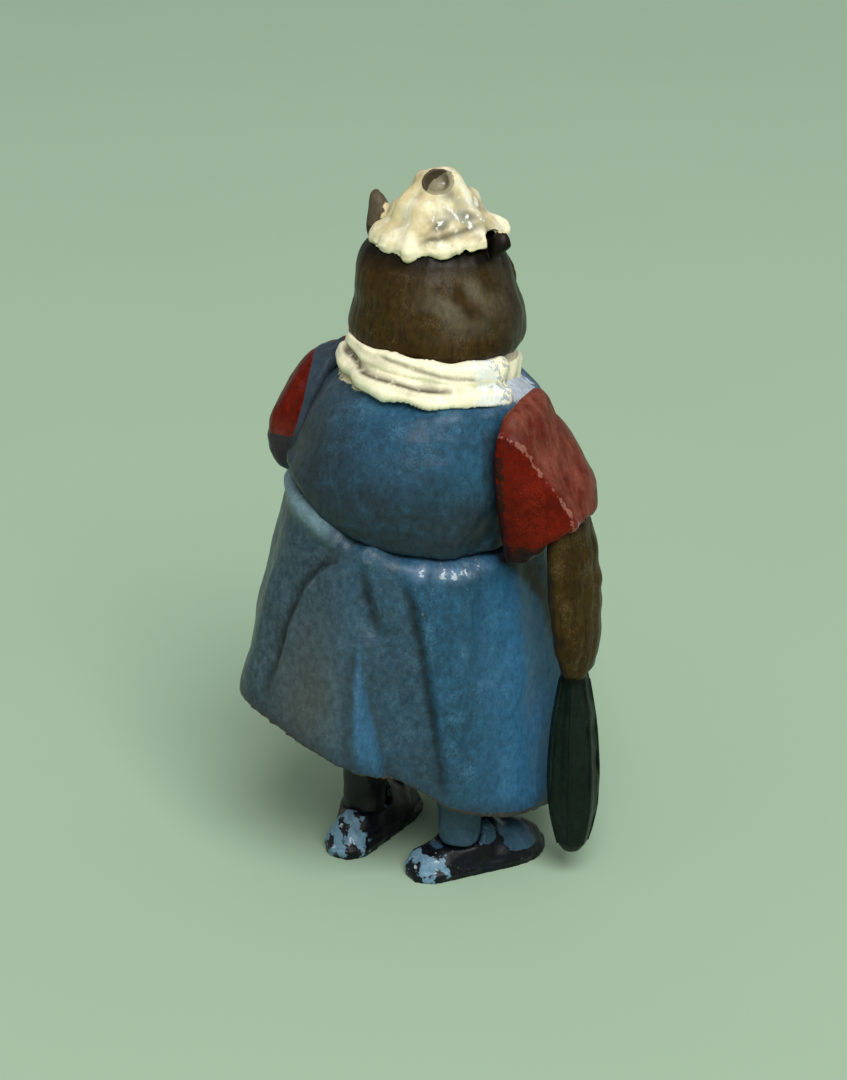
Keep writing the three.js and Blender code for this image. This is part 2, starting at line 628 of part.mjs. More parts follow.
const figure = new THREE.Group();
figure.name = "lead_owl";
for (const [name, [geometry, color]] of Object.entries(pieces)) {
  geometry.computeVertexNormals();
  const paint = new THREE.MeshStandardMaterial({ color, roughness: 0.35, metalness: 0 });
  const mesh = new THREE.Mesh(geometry, paint);
  mesh.name = name;
  figure.add(mesh);
}

// The origin is the middle of the figure's box, on the ground.
const bounds = new THREE.Box3().setFromObject(figure);
const middle = bounds.getCenter(new THREE.Vector3());
figure.position.set(-middle.x, -middle.y, -bounds.min.z);

export default figure;
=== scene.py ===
import json
import math
import bmesh
import bpy
import numpy as np
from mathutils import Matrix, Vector


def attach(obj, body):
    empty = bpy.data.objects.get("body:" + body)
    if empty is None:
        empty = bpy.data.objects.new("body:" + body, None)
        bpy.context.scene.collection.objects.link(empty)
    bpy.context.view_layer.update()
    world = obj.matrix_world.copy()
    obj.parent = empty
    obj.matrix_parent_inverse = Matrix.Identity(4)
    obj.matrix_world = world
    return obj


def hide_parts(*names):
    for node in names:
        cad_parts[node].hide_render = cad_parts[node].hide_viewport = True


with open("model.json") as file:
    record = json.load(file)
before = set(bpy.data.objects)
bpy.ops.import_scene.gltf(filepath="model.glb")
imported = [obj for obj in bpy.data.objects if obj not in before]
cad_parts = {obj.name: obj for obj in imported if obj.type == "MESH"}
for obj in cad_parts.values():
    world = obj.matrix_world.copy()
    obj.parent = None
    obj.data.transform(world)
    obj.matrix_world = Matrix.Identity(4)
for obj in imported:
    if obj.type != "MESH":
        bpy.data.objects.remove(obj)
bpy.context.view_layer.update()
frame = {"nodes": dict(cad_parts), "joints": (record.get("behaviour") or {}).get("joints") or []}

# Shoes: two low black shoes, cast in lead with flat soles and a shallow welt, the left one pointing
# almost straight ahead. The black enamel is rubbed through at the heels, where old pale blue and bare
# metal show together with painted highlights, and blue from the coat has run on to the right one.
MM = 1000  # millimetres in a metre: the frame is in metres, the work below in millimetres
MIDDLE = np.array(frame["joints"][0]["pos_m"][:2]) * MM  # the figure's upright axis
FOOT = np.array([*MIDDLE, 0])  # where that axis meets the ground
FULL_RELIEF = 0.12  # an edge or hollow this high or deep counts in full
WAVES = 16  # sine waves that add up to one uneven field
RELIEF_STEPS = 16  # rounds of averaging that level such edges and hollows out


def near(x, middle, width):
    """1 at the middle, fading away like a bell on both sides."""
    return np.exp(-(((x - middle) / width) ** 2))


def ease(x):
    """0 below 0, 1 above 1 and a smooth step between."""
    x = np.clip(x, 0, 1)
    return x * x * (3 - 2 * x)


def rising(x, start, over):
    """0 up to the start, then smoothly up to 1 over the given stretch."""
    return ease((x - start) / over)


def falling(x, end, over):
    """1, then smoothly down over the given stretch to 0 at the end."""
    return ease((end - x) / over)


def lumps(points, size, seed):
    """Uneven hand work: a smooth random field with hills of about the given size in millimetres."""
    rng = np.random.default_rng(seed)
    ways = rng.normal(size=(WAVES, 3))
    ways *= (rng.uniform(0.6, 1.5, WAVES) / np.linalg.norm(ways, axis=1))[:, None]
    waves = np.sin(points @ ways.T * (2 * math.pi / size) + rng.uniform(0, 2 * math.pi, WAVES))
    return waves.sum(1) / math.sqrt(WAVES)


def linked(name, data):
    """A new object at the origin that holds a mesh, a lamp or a camera."""
    thing = bpy.data.objects.new(name, data)
    bpy.context.scene.collection.objects.link(thing)
    return thing


def coordinates(mesh):
    flat = np.zeros(len(mesh.vertices) * 3, np.float32)
    mesh.vertices.foreach_get("co", flat)
    return flat.reshape(-1, 3)


def move_to(mesh, points):
    mesh.vertices.foreach_set("co", points.astype(np.float32).ravel())
    mesh.update()


class Casting:
    """A piece while it is worked: its CAD solid as an even skin of small faces, in millimetres."""

    def __init__(self, node, grain):
        self.node = node
        self.tones = {}
        solid = bmesh.new()
        solid.from_mesh(frame["nodes"][node].data)
        bmesh.ops.remove_doubles(solid, verts=solid.verts, dist=1e-6)
        bmesh.ops.scale(solid, vec=(MM, MM, MM), verts=solid.verts)
        blank = bpy.data.meshes.new(node + "_blank")
        solid.to_mesh(blank)
        solid.free()
        rough = linked(node + "_blank", blank)
        grid = rough.modifiers.new("grid", "REMESH")
        grid.mode = "VOXEL"
        grid.voxel_size = grain
        bpy.context.view_layer.update()
        depsgraph = bpy.context.evaluated_depsgraph_get()
        self.mesh = bpy.data.meshes.new_from_object(rough.evaluated_get(depsgraph))
        bpy.data.objects.remove(rough)
        self.points = coordinates(self.mesh)
        self.edges = np.zeros((len(self.mesh.edges), 2), np.int32)
        self.mesh.edges.foreach_get("vertices", self.edges.ravel())
        self.links = np.bincount(self.edges.ravel(), minlength=len(self.points))[:, None]

    def averaged(self, values, times):
        """Values at the points, each moved half way to the mean of its neighbours, several times."""
        a, b = self.edges.T
        for _ in range(times):
            total = [np.bincount(a, v[b], len(v)) + np.bincount(b, v[a], len(v)) for v in values.T]
            values = 0.5 * values + 0.5 * np.array(total).T / self.links
        return values

    def smooth(self, times):
        self.points = self.averaged(self.points, times)

    def normals(self):
        move_to(self.mesh, self.points)
        found = np.zeros((len(self.points), 3), np.float32)
        self.mesh.vertex_normals.foreach_get("vector", found.ravel())
        return found

    def push(self, height):
        """Moves the skin out by a height, or in where it is below zero."""
        self.points = self.points + self.normals() * np.reshape(height, (-1, 1))

    def round(self):
        """Angle from the back in degrees, plus to the owl's right, then reach from the axis and height."""
        x, y = (self.points[:, :2] - MIDDLE).T
        return np.degrees(np.arctan2(-x, y)), np.hypot(x, y), self.points[:, 2]

    def outward(self):
        """1 where the skin faces away from the axis, 0 inside and underneath."""
        away = self.points[:, :2] - MIDDLE
        away /= np.linalg.norm(away, axis=1)[:, None] + 1e-6
        return ease((self.normals()[:, :2] * away).sum(1) / 0.3 + 0.2)

    def finish(self, name, body, material):
        """Notes raised and sunk skin, for wear, painted edge highlights and grime, and puts the piece on
        its body.
        """
        raised = ((self.points - self.averaged(self.points, RELIEF_STEPS)) * self.normals()).sum(1)
        self.tones["edge"] = np.clip(raised / FULL_RELIEF, 0, 1)
        self.tones["hollow"] = np.clip(-raised / FULL_RELIEF, 0, 1)
        move_to(self.mesh, self.points / MM)
        for tone, values in self.tones.items():
            layer = self.mesh.attributes.new(tone, "FLOAT", "POINT")
            layer.data.foreach_set("value", np.asarray(values, np.float32))
        self.mesh.polygons.foreach_set("use_smooth", [True] * len(self.mesh.polygons))
        self.mesh.materials.clear()
        self.mesh.materials.append(material)
        piece = linked(name, self.mesh)
        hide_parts(self.node)
        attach(piece, body)


def colour(red, green, blue):
    """A colour written as on a colour chart, 0 to 255, for a shader socket."""
    def straight(c):
        c /= 255
        return c / 12.92 if c <= 0.04045 else ((c + 0.055) / 1.055) ** 2.4
    return (straight(red), straight(green), straight(blue), 1)


class Wiring:
    """Lays nodes in a tree. What a node takes may be a number, a colour or another node's output."""

    def __init__(self, tree):
        self.tree = tree

    def node(self, kind, takes, **settings):
        made = self.tree.nodes.new(kind)
        for key, value in settings.items():
            setattr(made, key, value)
        for socket, value in takes.items():
            if isinstance(value, bpy.types.NodeSocket):
                self.tree.links.new(value, made.inputs[socket])
            else:
                made.inputs[socket].default_value = value
        return made

    def maths(self, operation, a, b=0.0):
        return self.node("ShaderNodeMath", {0: a, 1: b}, operation=operation).outputs[0]

    def mixed(self, share, a, b):
        return self.node("ShaderNodeMix", {0: share, 6: a, 7: b}, data_type="RGBA").outputs[2]

    def between(self, value, low, high):
        """0 below low, 1 above high and smooth between."""
        takes = {"Value": value, "From Min": low, "From Max": high}
        return self.node("ShaderNodeMapRange", takes, interpolation_type="SMOOTHSTEP").outputs[0]

    def noise(self, where, size, detail=3.0):
        takes = {"Vector": where, "Scale": 1 / size, "Detail": detail, "Roughness": 0.6}
        return self.node("ShaderNodeTexNoise", takes).outputs["Fac"]

    def tone(self, name):
        return self.node("ShaderNodeAttribute", {}, attribute_name=name).outputs["Fac"]

    def times(self, a, b):
        return self.maths("MULTIPLY", a, b)

    def blend(self, a, b, share):
        return self.node("ShaderNodeMix", {0: share, 2: a, 3: b}).outputs[0]

    def millimetres(self, stretch=(1, 1, 1), shift=(0, 0, 0)):
        """The place on the piece, for noise. A stretch below 1 draws its grain out along that axis."""
        place = self.node("ShaderNodeTexCoord", {}).outputs["Object"]
        takes = {0: place, 1: tuple(MM * s for s in stretch), 2: shift}
        return self.node("ShaderNodeVectorMath", takes, operation="MULTIPLY_ADD").outputs[0]

    def over(self, seen, tone, shade, ragged=0.7, size=0.6, depth=0.9):
        """Another colour over what is seen, with a ragged edge, where a tone passes one half."""
        takes = {"Below": seen, "Tone": self.tone(tone), "Over": colour(*shade)}
        takes.update({"Ragged": ragged, "Size": size, "Depth": depth})
        return self.node("ShaderNodeGroup", takes, node_tree=RAGGED).outputs["Color"]


def sockets(tree, way, kind, *names):
    """Gives a node group named sockets of one kind, all INPUT or all OUTPUT."""
    for name in names:
        tree.interface.new_socket(name, in_out=way, socket_type="NodeSocket" + kind)


def ragged_paint():
    """Paint laid over other paint by hand, with an uneven edge."""
    group = bpy.data.node_groups.new("ragged paint", "ShaderNodeTree")
    sockets(group, "INPUT", "Color", "Below", "Over")
    sockets(group, "INPUT", "Float", "Tone", "Ragged", "Size", "Depth")
    sockets(group, "OUTPUT", "Color", "Color")
    w = Wiring(group)
    given = group.nodes.new("NodeGroupInput").outputs
    fineness = w.maths("DIVIDE", 1.0, given["Size"])
    takes = {"Vector": w.millimetres(), "Scale": fineness, "Detail": 4.0, "Roughness": 0.6}
    uneven = w.node("ShaderNodeTexNoise", takes).outputs["Fac"]
    torn = w.times(w.maths("SUBTRACT", uneven, 0.5), given["Ragged"])
    share = w.between(w.maths("ADD", given["Tone"], torn), 0.46, 0.56)
    laid = w.mixed(w.times(share, given["Depth"]), given["Below"], given["Over"])
    w.node("NodeGroupOutput", {"Color": laid})
    return group


RAGGED = ragged_paint()
COLOURS = ("Paint", "Deep", "Light", "Grime", "Bare and sheen")


def aged_enamel():
    """Hand-brushed oil enamel, decades old: mottled, streaked, dirty in the hollows, thin on edges."""
    group = bpy.data.node_groups.new("aged enamel", "ShaderNodeTree")
    sockets(group, "INPUT", "Color", *COLOURS)
    sockets(group, "INPUT", "Float", "Mottle", "Streak", "Speckle", "Dirt", "Wear", "Chips")
    sockets(group, "OUTPUT", "Color", "Color")
    sockets(group, "OUTPUT", "Float", "Roughness", "Height")
    w = Wiring(group)
    given = group.nodes.new("NodeGroupInput").outputs
    place = w.millimetres()
    broad = w.noise(place, 4.5, 4)
    patchy = w.noise(w.millimetres((1, 1, 1), (31, 17, 5)), 2.2, 5)
    middling = w.noise(place, 0.7, 5)
    fine = w.noise(place, 0.14, 3)
    brushed = w.noise(w.millimetres((1, 1, 0.14)), 0.4, 4)
    # broad tints, then finer ones laid over them
    paint = w.mixed(w.times(w.between(w.blend(broad, middling, 0.5), 0.44, 0.58), given["Mottle"]),
                    given["Paint"], given["Deep"])
    paint = w.mixed(w.times(w.between(w.blend(patchy, fine, 0.45), 0.5, 0.64), given["Mottle"]),
                    paint, given["Light"])
    paint = w.mixed(w.times(w.between(brushed, 0.5, 0.68), given["Streak"]), paint, given["Grime"])
    # dirt in the hollows and pits
    sunk = w.between(w.maths("ADD", w.tone("hollow"), w.times(middling, 0.6)), 0.45, 1.2)
    paint = w.mixed(w.times(sunk, given["Dirt"]), paint, given["Grime"])
    pits = w.times(w.between(fine, 0.6, 0.7), given["Speckle"])
    paint = w.mixed(pits, paint, given["Grime"])
    # wear on the edges in the fifth colour, on the blue a pale painted highlight, chips where asked for,
    # and small bright rubs
    rubs_and_highlights = w.times(w.tone("edge"), given["Wear"])
    thin = w.between(w.maths("ADD", rubs_and_highlights, w.times(middling, 0.9)), 0.75, 0.95)
    knocked = w.between(w.maths("ADD", given["Chips"], w.times(middling, 0.8)), 0.85, 0.93)
    dots = w.times(w.between(w.noise(place, 0.3, 2), 0.69, 0.73), given["Speckle"])
    worn = w.maths("MAXIMUM", w.maths("MAXIMUM", thin, knocked), w.times(dots, 0.6))
    paint = w.mixed(worn, paint, given["Bare and sheen"])
    rough = w.maths("ADD", 0.26, w.times(middling, 0.2))
    rough = w.maths("ADD", rough, w.times(w.maths("MAXIMUM", sunk, pits), 0.18))
    height = w.maths("ADD", w.times(middling, 0.6), w.times(fine, 0.22))
    height = w.maths("SUBTRACT", height, w.times(w.maths("MAXIMUM", knocked, thin), 0.35))
    height = w.maths("ADD", height, w.times(w.times(brushed, given["Streak"]), 0.4))
    w.node("NodeGroupOutput", {"Color": paint, "Roughness": rough, "Height": height})
    return group


ENAMEL = aged_enamel()


def brush_dabs():
    """Small lighter and darker touches that a stiff brush and a pitted casting leave in any colour."""
    group = bpy.data.node_groups.new("brush dabs", "ShaderNodeTree")
    sockets(group, "INPUT", "Color", "Color")
    sockets(group, "INPUT", "Float", "Amount", "Size")
    sockets(group, "OUTPUT", "Color", "Color")
    w = Wiring(group)
    given = group.nodes.new("NodeGroupInput").outputs
    fineness = w.maths("DIVIDE", 1.0, given["Size"])
    takes = {"Vector": w.millimetres((1, 1, 0.7)), "Scale": fineness, "Detail": 4.0, "Roughness": 0.7}
    dabs = w.node("ShaderNodeTexNoise", takes).outputs["Fac"]
    swing = w.times(w.maths("SUBTRACT", dabs, 0.5), 4.0)  # noise keeps near its middle
    level = w.maths("ADD", 1.0, w.times(swing, given["Amount"]))
    takes = {0: 1.0, 6: given["Color"], 7: level}
    seen = w.node("ShaderNodeMix", takes, data_type="RGBA", blend_type="MULTIPLY").outputs[2]
    w.node("NodeGroupOutput", {"Color": seen})
    return group


DABS = brush_dabs()
DAB_SIZE = 0.42  # millimetres
USUAL = {"Mottle": 0.7, "Streak": 0.0, "Speckle": 0.5, "Dirt": 0.7, "Wear": 0.5}


def enamel(name, *colours, extra=None, shine=0.25, dabs=0.3, **amounts):
    """A coat of enamel in five colours, in the order of COLOURS. extra may lay more colours over it."""
    material = bpy.data.materials.new(name)
    material.use_nodes = True
    w = Wiring(material.node_tree)
    shader = material.node_tree.nodes["Principled BSDF"]
    takes = {socket: colour(*shade) for socket, shade in zip(COLOURS, colours)}
    takes.update({**USUAL, **amounts, "Chips": w.tone("chips")})
    coat = w.node("ShaderNodeGroup", takes, node_tree=ENAMEL)
    seen = coat.outputs["Color"]
    if extra:
        seen = extra(w, seen)
    takes = {"Color": seen, "Amount": dabs, "Size": DAB_SIZE}
    touched = w.node("ShaderNodeGroup", takes, node_tree=DABS)
    w.tree.links.new(touched.outputs["Color"], shader.inputs["Base Color"])
    w.tree.links.new(coat.outputs["Roughness"], shader.inputs["Roughness"])
    shader.inputs["Specular IOR Level"].default_value = shine
    takes = {"Height": coat.outputs["Height"], "Strength": 0.6, "Distance": 0.1 / MM}
    w.tree.links.new(w.node("ShaderNodeBump", takes).outputs["Normal"], shader.inputs["Normal"])
    return material


def blue_run(w, seen):
    """The coat's blue and the shoes' black, run over other paint where their tones say."""
    seen = w.over(seen, "run", (50, 78, 96), size=0.9)
    return w.over(seen, "blacked", (16, 19, 24), size=0.9)


def shoe_colours(w, seen):
    """Old pale blue and white where the black is rubbed through, the pale blue also a painted highlight.
    """
    seen = w.over(seen, "rubs_and_highlights", (112, 148, 170), ragged=1.4, size=0.75, depth=0.85)
    seen = w.over(seen, "whitened", (196, 210, 218), ragged=1.4, size=0.5, depth=0.75)
    return blue_run(w, seen)


black_enamel = enamel(
    "black enamel", (9, 11, 15), (14, 17, 22), (27, 37, 48), (22, 21, 19), (112, 138, 156),
    extra=shoe_colours, shine=0.2, Mottle=0.6, Speckle=0.5, Wear=0.35,
)
HEELS = {"left": (4.0, 7.7), "right": (-2.5, 7.0)}  # from the axis, plus to the left and to the back
for side, (heel_x, heel_y) in HEELS.items():
    shoe = Casting(side + "_shoe", grain=0.14)
    shoe.smooth(2)
    height = shoe.points[:, 2]
    free = rising(height, 0.15, 0.5)
    shoe.push(free * (0.1 + 0.14 * lumps(shoe.points, 2.6, 3) - 0.08 * near(height, 0.95, 0.16)))
    if side == "left":
        shoe.points[:, 2] += 0.3 * height * rising(height, 1.2, 1.5)
    behind = shoe.points[:, 1] - (heel_y + MIDDLE[1])
    outside = (heel_x + MIDDLE[0] - shoe.points[:, 0]) * (1 if side == "right" else -1)
    patchy = lumps(shoe.points, 1.7, 5)
    length, half_height = (3.2, 1.9) if side == "left" else (2.3, 1.6)  # of the rubbed part
    heel = rising(behind, -length, 1.4) * near(height, 1.5, half_height)
    instep = near(behind, -4.5, 3) * np.clip(patchy, 0, 1)
    # pale blue rubbed through on heel and instep, partly painted highlight
    shoe.tones["rubs_and_highlights"] = heel * (0.62 + 0.16 * patchy) + 0.3 * instep
    shoe.tones["whitened"] = 0.36 * heel
    if side == "right":
        ankle = rising(height, 1.9, 0.9) * rising(behind, -6.2, 1.0)
        toe = near(behind, -7.6, 1.7) * rising(outside, 2.0, 1.0) * rising(height, 0.9, 0.6)
        shoe.tones["run"] = np.maximum(ankle, toe)
    shoe.finish(side + "_shoe_cast", "figure", black_enamel)

# Legs: two short round ankles, cast with a peg that stands in each shoe and soldered under the plate
# in the skirt. Dull olive paint, the right one smeared with the coat's blue.
olive_enamel = enamel(
    "olive enamel", (44, 42, 35), (32, 31, 26), (64, 64, 58), (18, 17, 15), (98, 96, 86),
    extra=blue_run, Wear=0.3,
)
for side in HEELS:
    leg = Casting(side + "_leg", grain=0.14)
    leg.smooth(2)
    leg.push(0.12 * lumps(leg.points, 2.2, 8))
    low = falling(leg.points[:, 2], 4.6, 2)
    leg.tones["run" if side == "right" else "blacked"] = 0.62 + 0.2 * low
    leg.finish(side + "_leg_cast", "figure", olive_enamel)

# Skirt plate: a rough plate of bare lead that closes the hollow skirt and carries the legs. It is seen
# only from below, grey and pitted as it came from the mould.
bare_lead = enamel(
    "bare lead", (92, 94, 96), (66, 68, 70), (116, 118, 120), (40, 39, 37), (150, 152, 153),
    Mottle=0.9, Speckle=0.8, Wear=0.4,
)
plate = Casting("skirt_plate", grain=0.22)
plate.smooth(1)
plate.push(0.06 * lumps(plate.points, 1.3, 12) - 0.05 * np.abs(lumps(plate.points, 4, 13)))
plate.finish("skirt_plate_cast", "figure", bare_lead)

# Skirt of the coat: a hollow bell of lead, swept up at the left back and gathered at one point of the
# waist, from which folds fan out. Blue enamel, greyer on its left with painted shade, painted shade in
# the folds and by the wing, painted light on a facet and the right side, painted glints along the
# waist, and a brown hem.
ROUND = 11.0 * math.pi / 180  # millimetres for each degree round the skirt


def from_path(across, up, path):
    """Distance from a path over the skin and 0 to 1 along it. The distance is plus above a path that
    runs to the owl's right, and on the owl's right of one that runs down. The path is a list of
    (degrees from the back, height)."""
    best = np.full(len(across), 1e9)
    side = np.zeros(len(across))
    along = np.zeros(len(across))
    for i, ((a0, z0), (a1, z1)) in enumerate(zip(path, path[1:])):
        x0, dx, dz = a0 * ROUND, (a1 - a0) * ROUND, z1 - z0
        t = np.clip(((across - x0) * dx + (up - z0) * dz) / (dx * dx + dz * dz), 0, 1)
        ox, oz = across - x0 - t * dx, up - z0 - t * dz
        far = np.hypot(ox, oz)
        nearer = far < best
        best = np.where(nearer, far, best)
        side = np.where(nearer, np.sign(oz * dx - ox * dz), side)
        along = np.where(nearer, (i + t) / (len(path) - 1), along)
    return best * side, along


def coat_edge(casting, lean=0.0):
    """1 along the coat's front edge, which runs down a little to the left of the middle."""
    degrees, _, height = casting.round()
    from_edge = casting.points[:, 0] - MIDDLE[0] - 0.8 + lean * (height - 28)
    return near(from_edge, 0, 0.28) * (np.abs(degrees) > 90)


def lowest(degrees, height, step, within):
    """Bearings at even steps all round, and the lowest height found within some degrees of each."""
    bearings = np.arange(-180, 181, step)
    return bearings, np.array([height[np.abs(degrees - b) < within].min() for b in bearings])


def lapped(aside, lift, sink):
    """A fold whose right side lies over its left: raised just past its line and sunk before it."""
    over = lift * np.exp(-np.clip(aside, 0, None) / 2.4)
    under = -sink * np.exp(np.clip(aside, None, 0) / 1.3)
    share = rising(aside, -0.5, 1.0)
    return over * share + under * (1 - share)


WAIST = [(-75, 31.3), (-45, 31.2), (-22, 29.9), (0, 28.2), (22, 27.2), (45, 26.6), (95, 26.2)]
GATHER = (9, 28.2)  # the point of the waist from which the folds fan out
LEFT_FOLD = [(-1, 27.7), (-10, 26.7), (-17, 24.8), (-21, 21.5), (-23, 17), (-24, 13)]
GATHER_FOLD = [(7, 27.4), (10, 25.4), (13, 23.7), (17, 21.5)]
PLEAT = [(7, 22.8), (6, 18), (7, 14), (10, 10)]
PLEAT_FOOT = [(8, 22.6), (10, 19.6), (13, 16.4), (17, 12.2), (20, 9)]
LONG_FOLD = [(22, 27.0), (27, 24.8), (31, 21), (34, 17), (37, 13), (41, 8)]
# A fold's dark line is painted shade in its crease.
FOLDS = (  # each with how high it laps over, how deep it is sunk before that, and how dark its line is
    (LEFT_FOLD, 0.35, 0.5, 0.9), (GATHER_FOLD, 0.25, 0.45, 0.8),
    (PLEAT, 0.4, 0.5, 0.3), (LONG_FOLD, 0.22, 0.42, 0.8),
)
# The brown beside the wing is brown paint darkened with painted shade.
WING_HEIGHTS = (16, 19.5, 21.6, 23, 24.4, 25.6, 26.4)  # edge of the wing's brown on the skirt, going up
WING_DEGREES = (115, 111, 108, 100, 91, 81, 72)


def coat_colours(w, seen):
    """The coat's blue: fading, grime, scuffs, other paints, and painted shade, light, highlights and
    glints.
    """
    brushed = w.between(w.noise(w.millimetres(), 0.5, 5), 0.36, 0.62)
    grey = w.mixed(brushed, colour(43, 56, 62), colour(64, 79, 84))
    seen = w.mixed(w.times(w.tone("faded_and_painted_light"), 0.75), seen, grey)
    seen = w.mixed(w.times(w.tone("painted_light"), 0.7), seen, colour(52, 105, 144))
    seen = w.mixed(w.times(w.tone("warmed"), 0.7), seen, colour(76, 80, 75))
    cloud = w.between(w.noise(w.millimetres(), 1.6, 5), 0.1, 0.55)
    seen = w.mixed(w.times(w.times(w.tone("grime_and_shade"), cloud), 0.85), seen, colour(35, 42, 45))
    lines = w.times(w.tone("crease_shade"), w.between(w.noise(w.millimetres(), 0.8, 4), 0.2, 0.55))
    seen = w.mixed(w.times(lines, 0.9), seen, colour(20, 26, 29))
    seen = w.mixed(w.times(w.tone("ridge_highlight"), 0.7), seen, colour(112, 140, 148))
    seen = w.mixed(w.times(w.tone("scuffs_and_glints"), 0.9), seen, colour(118, 140, 164))
    seen = w.over(seen, "hemmed", (62, 52, 40), ragged=0.9, size=0.5, depth=0.85)
    seen = w.over(seen, "scuffs_and_glints", (206, 214, 224), ragged=1.5, size=0.5, depth=0.7)
    seen = w.mixed(w.times(w.times(w.tone("brown_and_shade"), cloud), 0.98), seen, colour(32, 22, 11))
    return w.over(seen, "creamed", (222, 212, 176), ragged=0.9, size=0.5)


# The blue's fifth colour is pale: bare wear and a painted highlight on raised edges.
blue_enamel = enamel(
    "blue enamel", (41, 82, 108), (35, 67, 87), (62, 105, 131), (24, 31, 35), (104, 126, 142),
    extra=coat_colours, shine=0.2, dabs=0.36, Mottle=0.9, Speckle=0.6, Dirt=0.5, Wear=0.35,
)
skirt = Casting("coat_skirt", grain=0.24)
skirt.smooth(2)
degrees, _, height = skirt.round()
across = degrees * ROUND
outer = skirt.outward()
rise = 0.13 * lumps(skirt.points, 6, 21) + 0.02 * lumps(skirt.points, 1.8, 22)
# painted shade along the folds' lines and the coat's front edge
crease_shade = np.zeros(len(across))
for path, lift, sink, dark in FOLDS:
    aside, along = from_path(across, height, path)
    starts, stops = 0 if path is PLEAT else 0.2, 8 if path is LONG_FOLD else 3
    ends = ease(along * 4 + starts) * ease((1 - along) * stops)
    rise += ends * lapped(aside, lift, sink)
    crease_shade = np.maximum(crease_shade, ends * dark * near(aside, -0.25, 0.4))
from_ridge, along = from_path(across, height, PLEAT)
from_foot, _ = from_path(across, height, PLEAT_FOOT)
rise -= 0.35 * near(from_foot, 0, 0.45) * ease(along * 3)
rise += 0.5 * near(across, GATHER[0] * ROUND, 1.2) * near(height, GATHER[1], 0.8)
from_waist, _ = from_path(across, height, WAIST)
swept = falling(degrees, 0, 8) * rising(degrees, -58, 15)
rise += 0.7 * near(from_waist, 0.35, 0.8) * swept
front_edge = coat_edge(skirt, lean=0.05)
skirt.push((rise - 0.16 * front_edge) * outer)
skirt.tones["crease_shade"] = np.maximum(crease_shade, 0.8 * front_edge) * outer
from_long, _ = from_path(across, height, LONG_FOLD)
skin = outer > 0.7
above_hem = height - np.interp(degrees, *lowest(degrees[skin], height[skin], step=4, within=3))
skirt.tones["hemmed"] = falling(above_hem, 0.75, 0.5)
# greyer on the left and left of the long fold: fading with painted shade
behind_folds = np.maximum(falling(degrees, 20, 30), 0.6 * falling(from_long, 0, 0.6))
skirt.tones["faded_and_painted_light"] = behind_folds * rising(degrees, -175, 30)
# painted light: brighter blue on the pleat's facet and on the right side beside the arm
facet = rising(from_ridge, 0, 0.4) * falling(from_foot, 0, 0.4) * falling(height, 23, 1.5)
skirt.tones["painted_light"] = np.maximum(0.7 * facet, rising(degrees, 48, 35) * falling(degrees, 140, 30))
# dark brown beside the wing: brown paint with painted shade
past_wing = degrees - np.interp(height, WING_HEIGHTS, WING_DEGREES)
skirt.tones["brown_and_shade"] = ease(past_wing / 7 + 0.5) * falling(degrees, 124, 10) * rising(height, 15, 3)
skirt.tones["warmed"] = near(degrees, -9, 15) * near(height, 16.5, 6) * (1 - facet)
# darker by the hem and low by the long fold: grime with painted shade
by_fold = 0.6 * falling(above_hem, 7, 6) * near(degrees, 34, 15)
skirt.tones["grime_and_shade"] = np.maximum(0.75 * falling(above_hem, 2.2, 2), by_fold)
# painted highlight along the raised waist roll at the left
skirt.tones["ridge_highlight"] = near(from_waist, 0.1, 0.42) * swept * falling(degrees, -6, 8)
# pale scuffs with painted glints along the shelf under the bodice
along_shelf = rising(degrees, 20, 10) * falling(degrees, 72, 20)
uneven = 0.5 + 0.2 * lumps(skirt.points, 1.6, 23)
skirt.tones["scuffs_and_glints"] = uneven * near(from_waist, -0.1, 0.45) * along_shelf
skirt.finish("coat_skirt_cast", "figure", blue_enamel)

# Bodice of the coat: the upper body, cast hollow with the neck socket, and soldered on the skirt's step.
# The same blue, greyer on the left and darker by the waist and sleeve with painted shade. Cream from
# the kerchief has run on to it, and the right shoulder is knocked pale, with painted glints.
bodice = Casting("coat_bodice", grain=0.17)
bodice.smooth(3)
degrees, reach, height = bodice.round()
outer = bodice.outward()
front_edge = coat_edge(bodice)
from_waist, _ = from_path(degrees * ROUND, height, WAIST)
bodice.points[:, 2] -= 0.35 * falling(from_waist, 0.9, 0.9) * outer
bodice.push(outer * (-0.16 * front_edge))
# painted shade along the front edge
bodice.tones["crease_shade"] = 0.8 * front_edge * outer
bodice.push(outer * (0.12 * lumps(bodice.points, 5, 31) + 0.015 * lumps(bodice.points, 1.5, 32)))
# greyer towards the left: fading with painted shade
bodice.tones["faded_and_painted_light"] = 0.7 * falling(degrees, 10, 40) * rising(degrees, -175, 30)
# darker towards the waist and in a band by the sleeve: grime with painted shade
clear = rising(degrees, 38, 15) * rising(height, 32, 3)
by_sleeve = rising(degrees, 55, 2.5) * falling(height, 38, 1.5)
bodice.tones["grime_and_shade"] = np.maximum(falling(np.abs(from_waist), 10.5, 7) * (1 - clear), by_sleeve)
# pale rubbed shoulder with painted glints
shoulder = rising(degrees, 66, 14) * falling(degrees, 138, 24) * rising(height, 38.2, 0.9)
bodice.push(-0.5 * outer * near(degrees, 118, 22) * near(height, 39.5, 1.2))
bodice.tones["scuffs_and_glints"] = 0.8 * outer * shoulder
under_cloth = rising(height, 38.9, 0.7) * rising(reach, 6, 0.6)
bodice.tones["creamed"] = 0.75 * under_cloth * falling(degrees, 66, 8)
bodice.finish("coat_bodice_cast", "figure", blue_enamel)

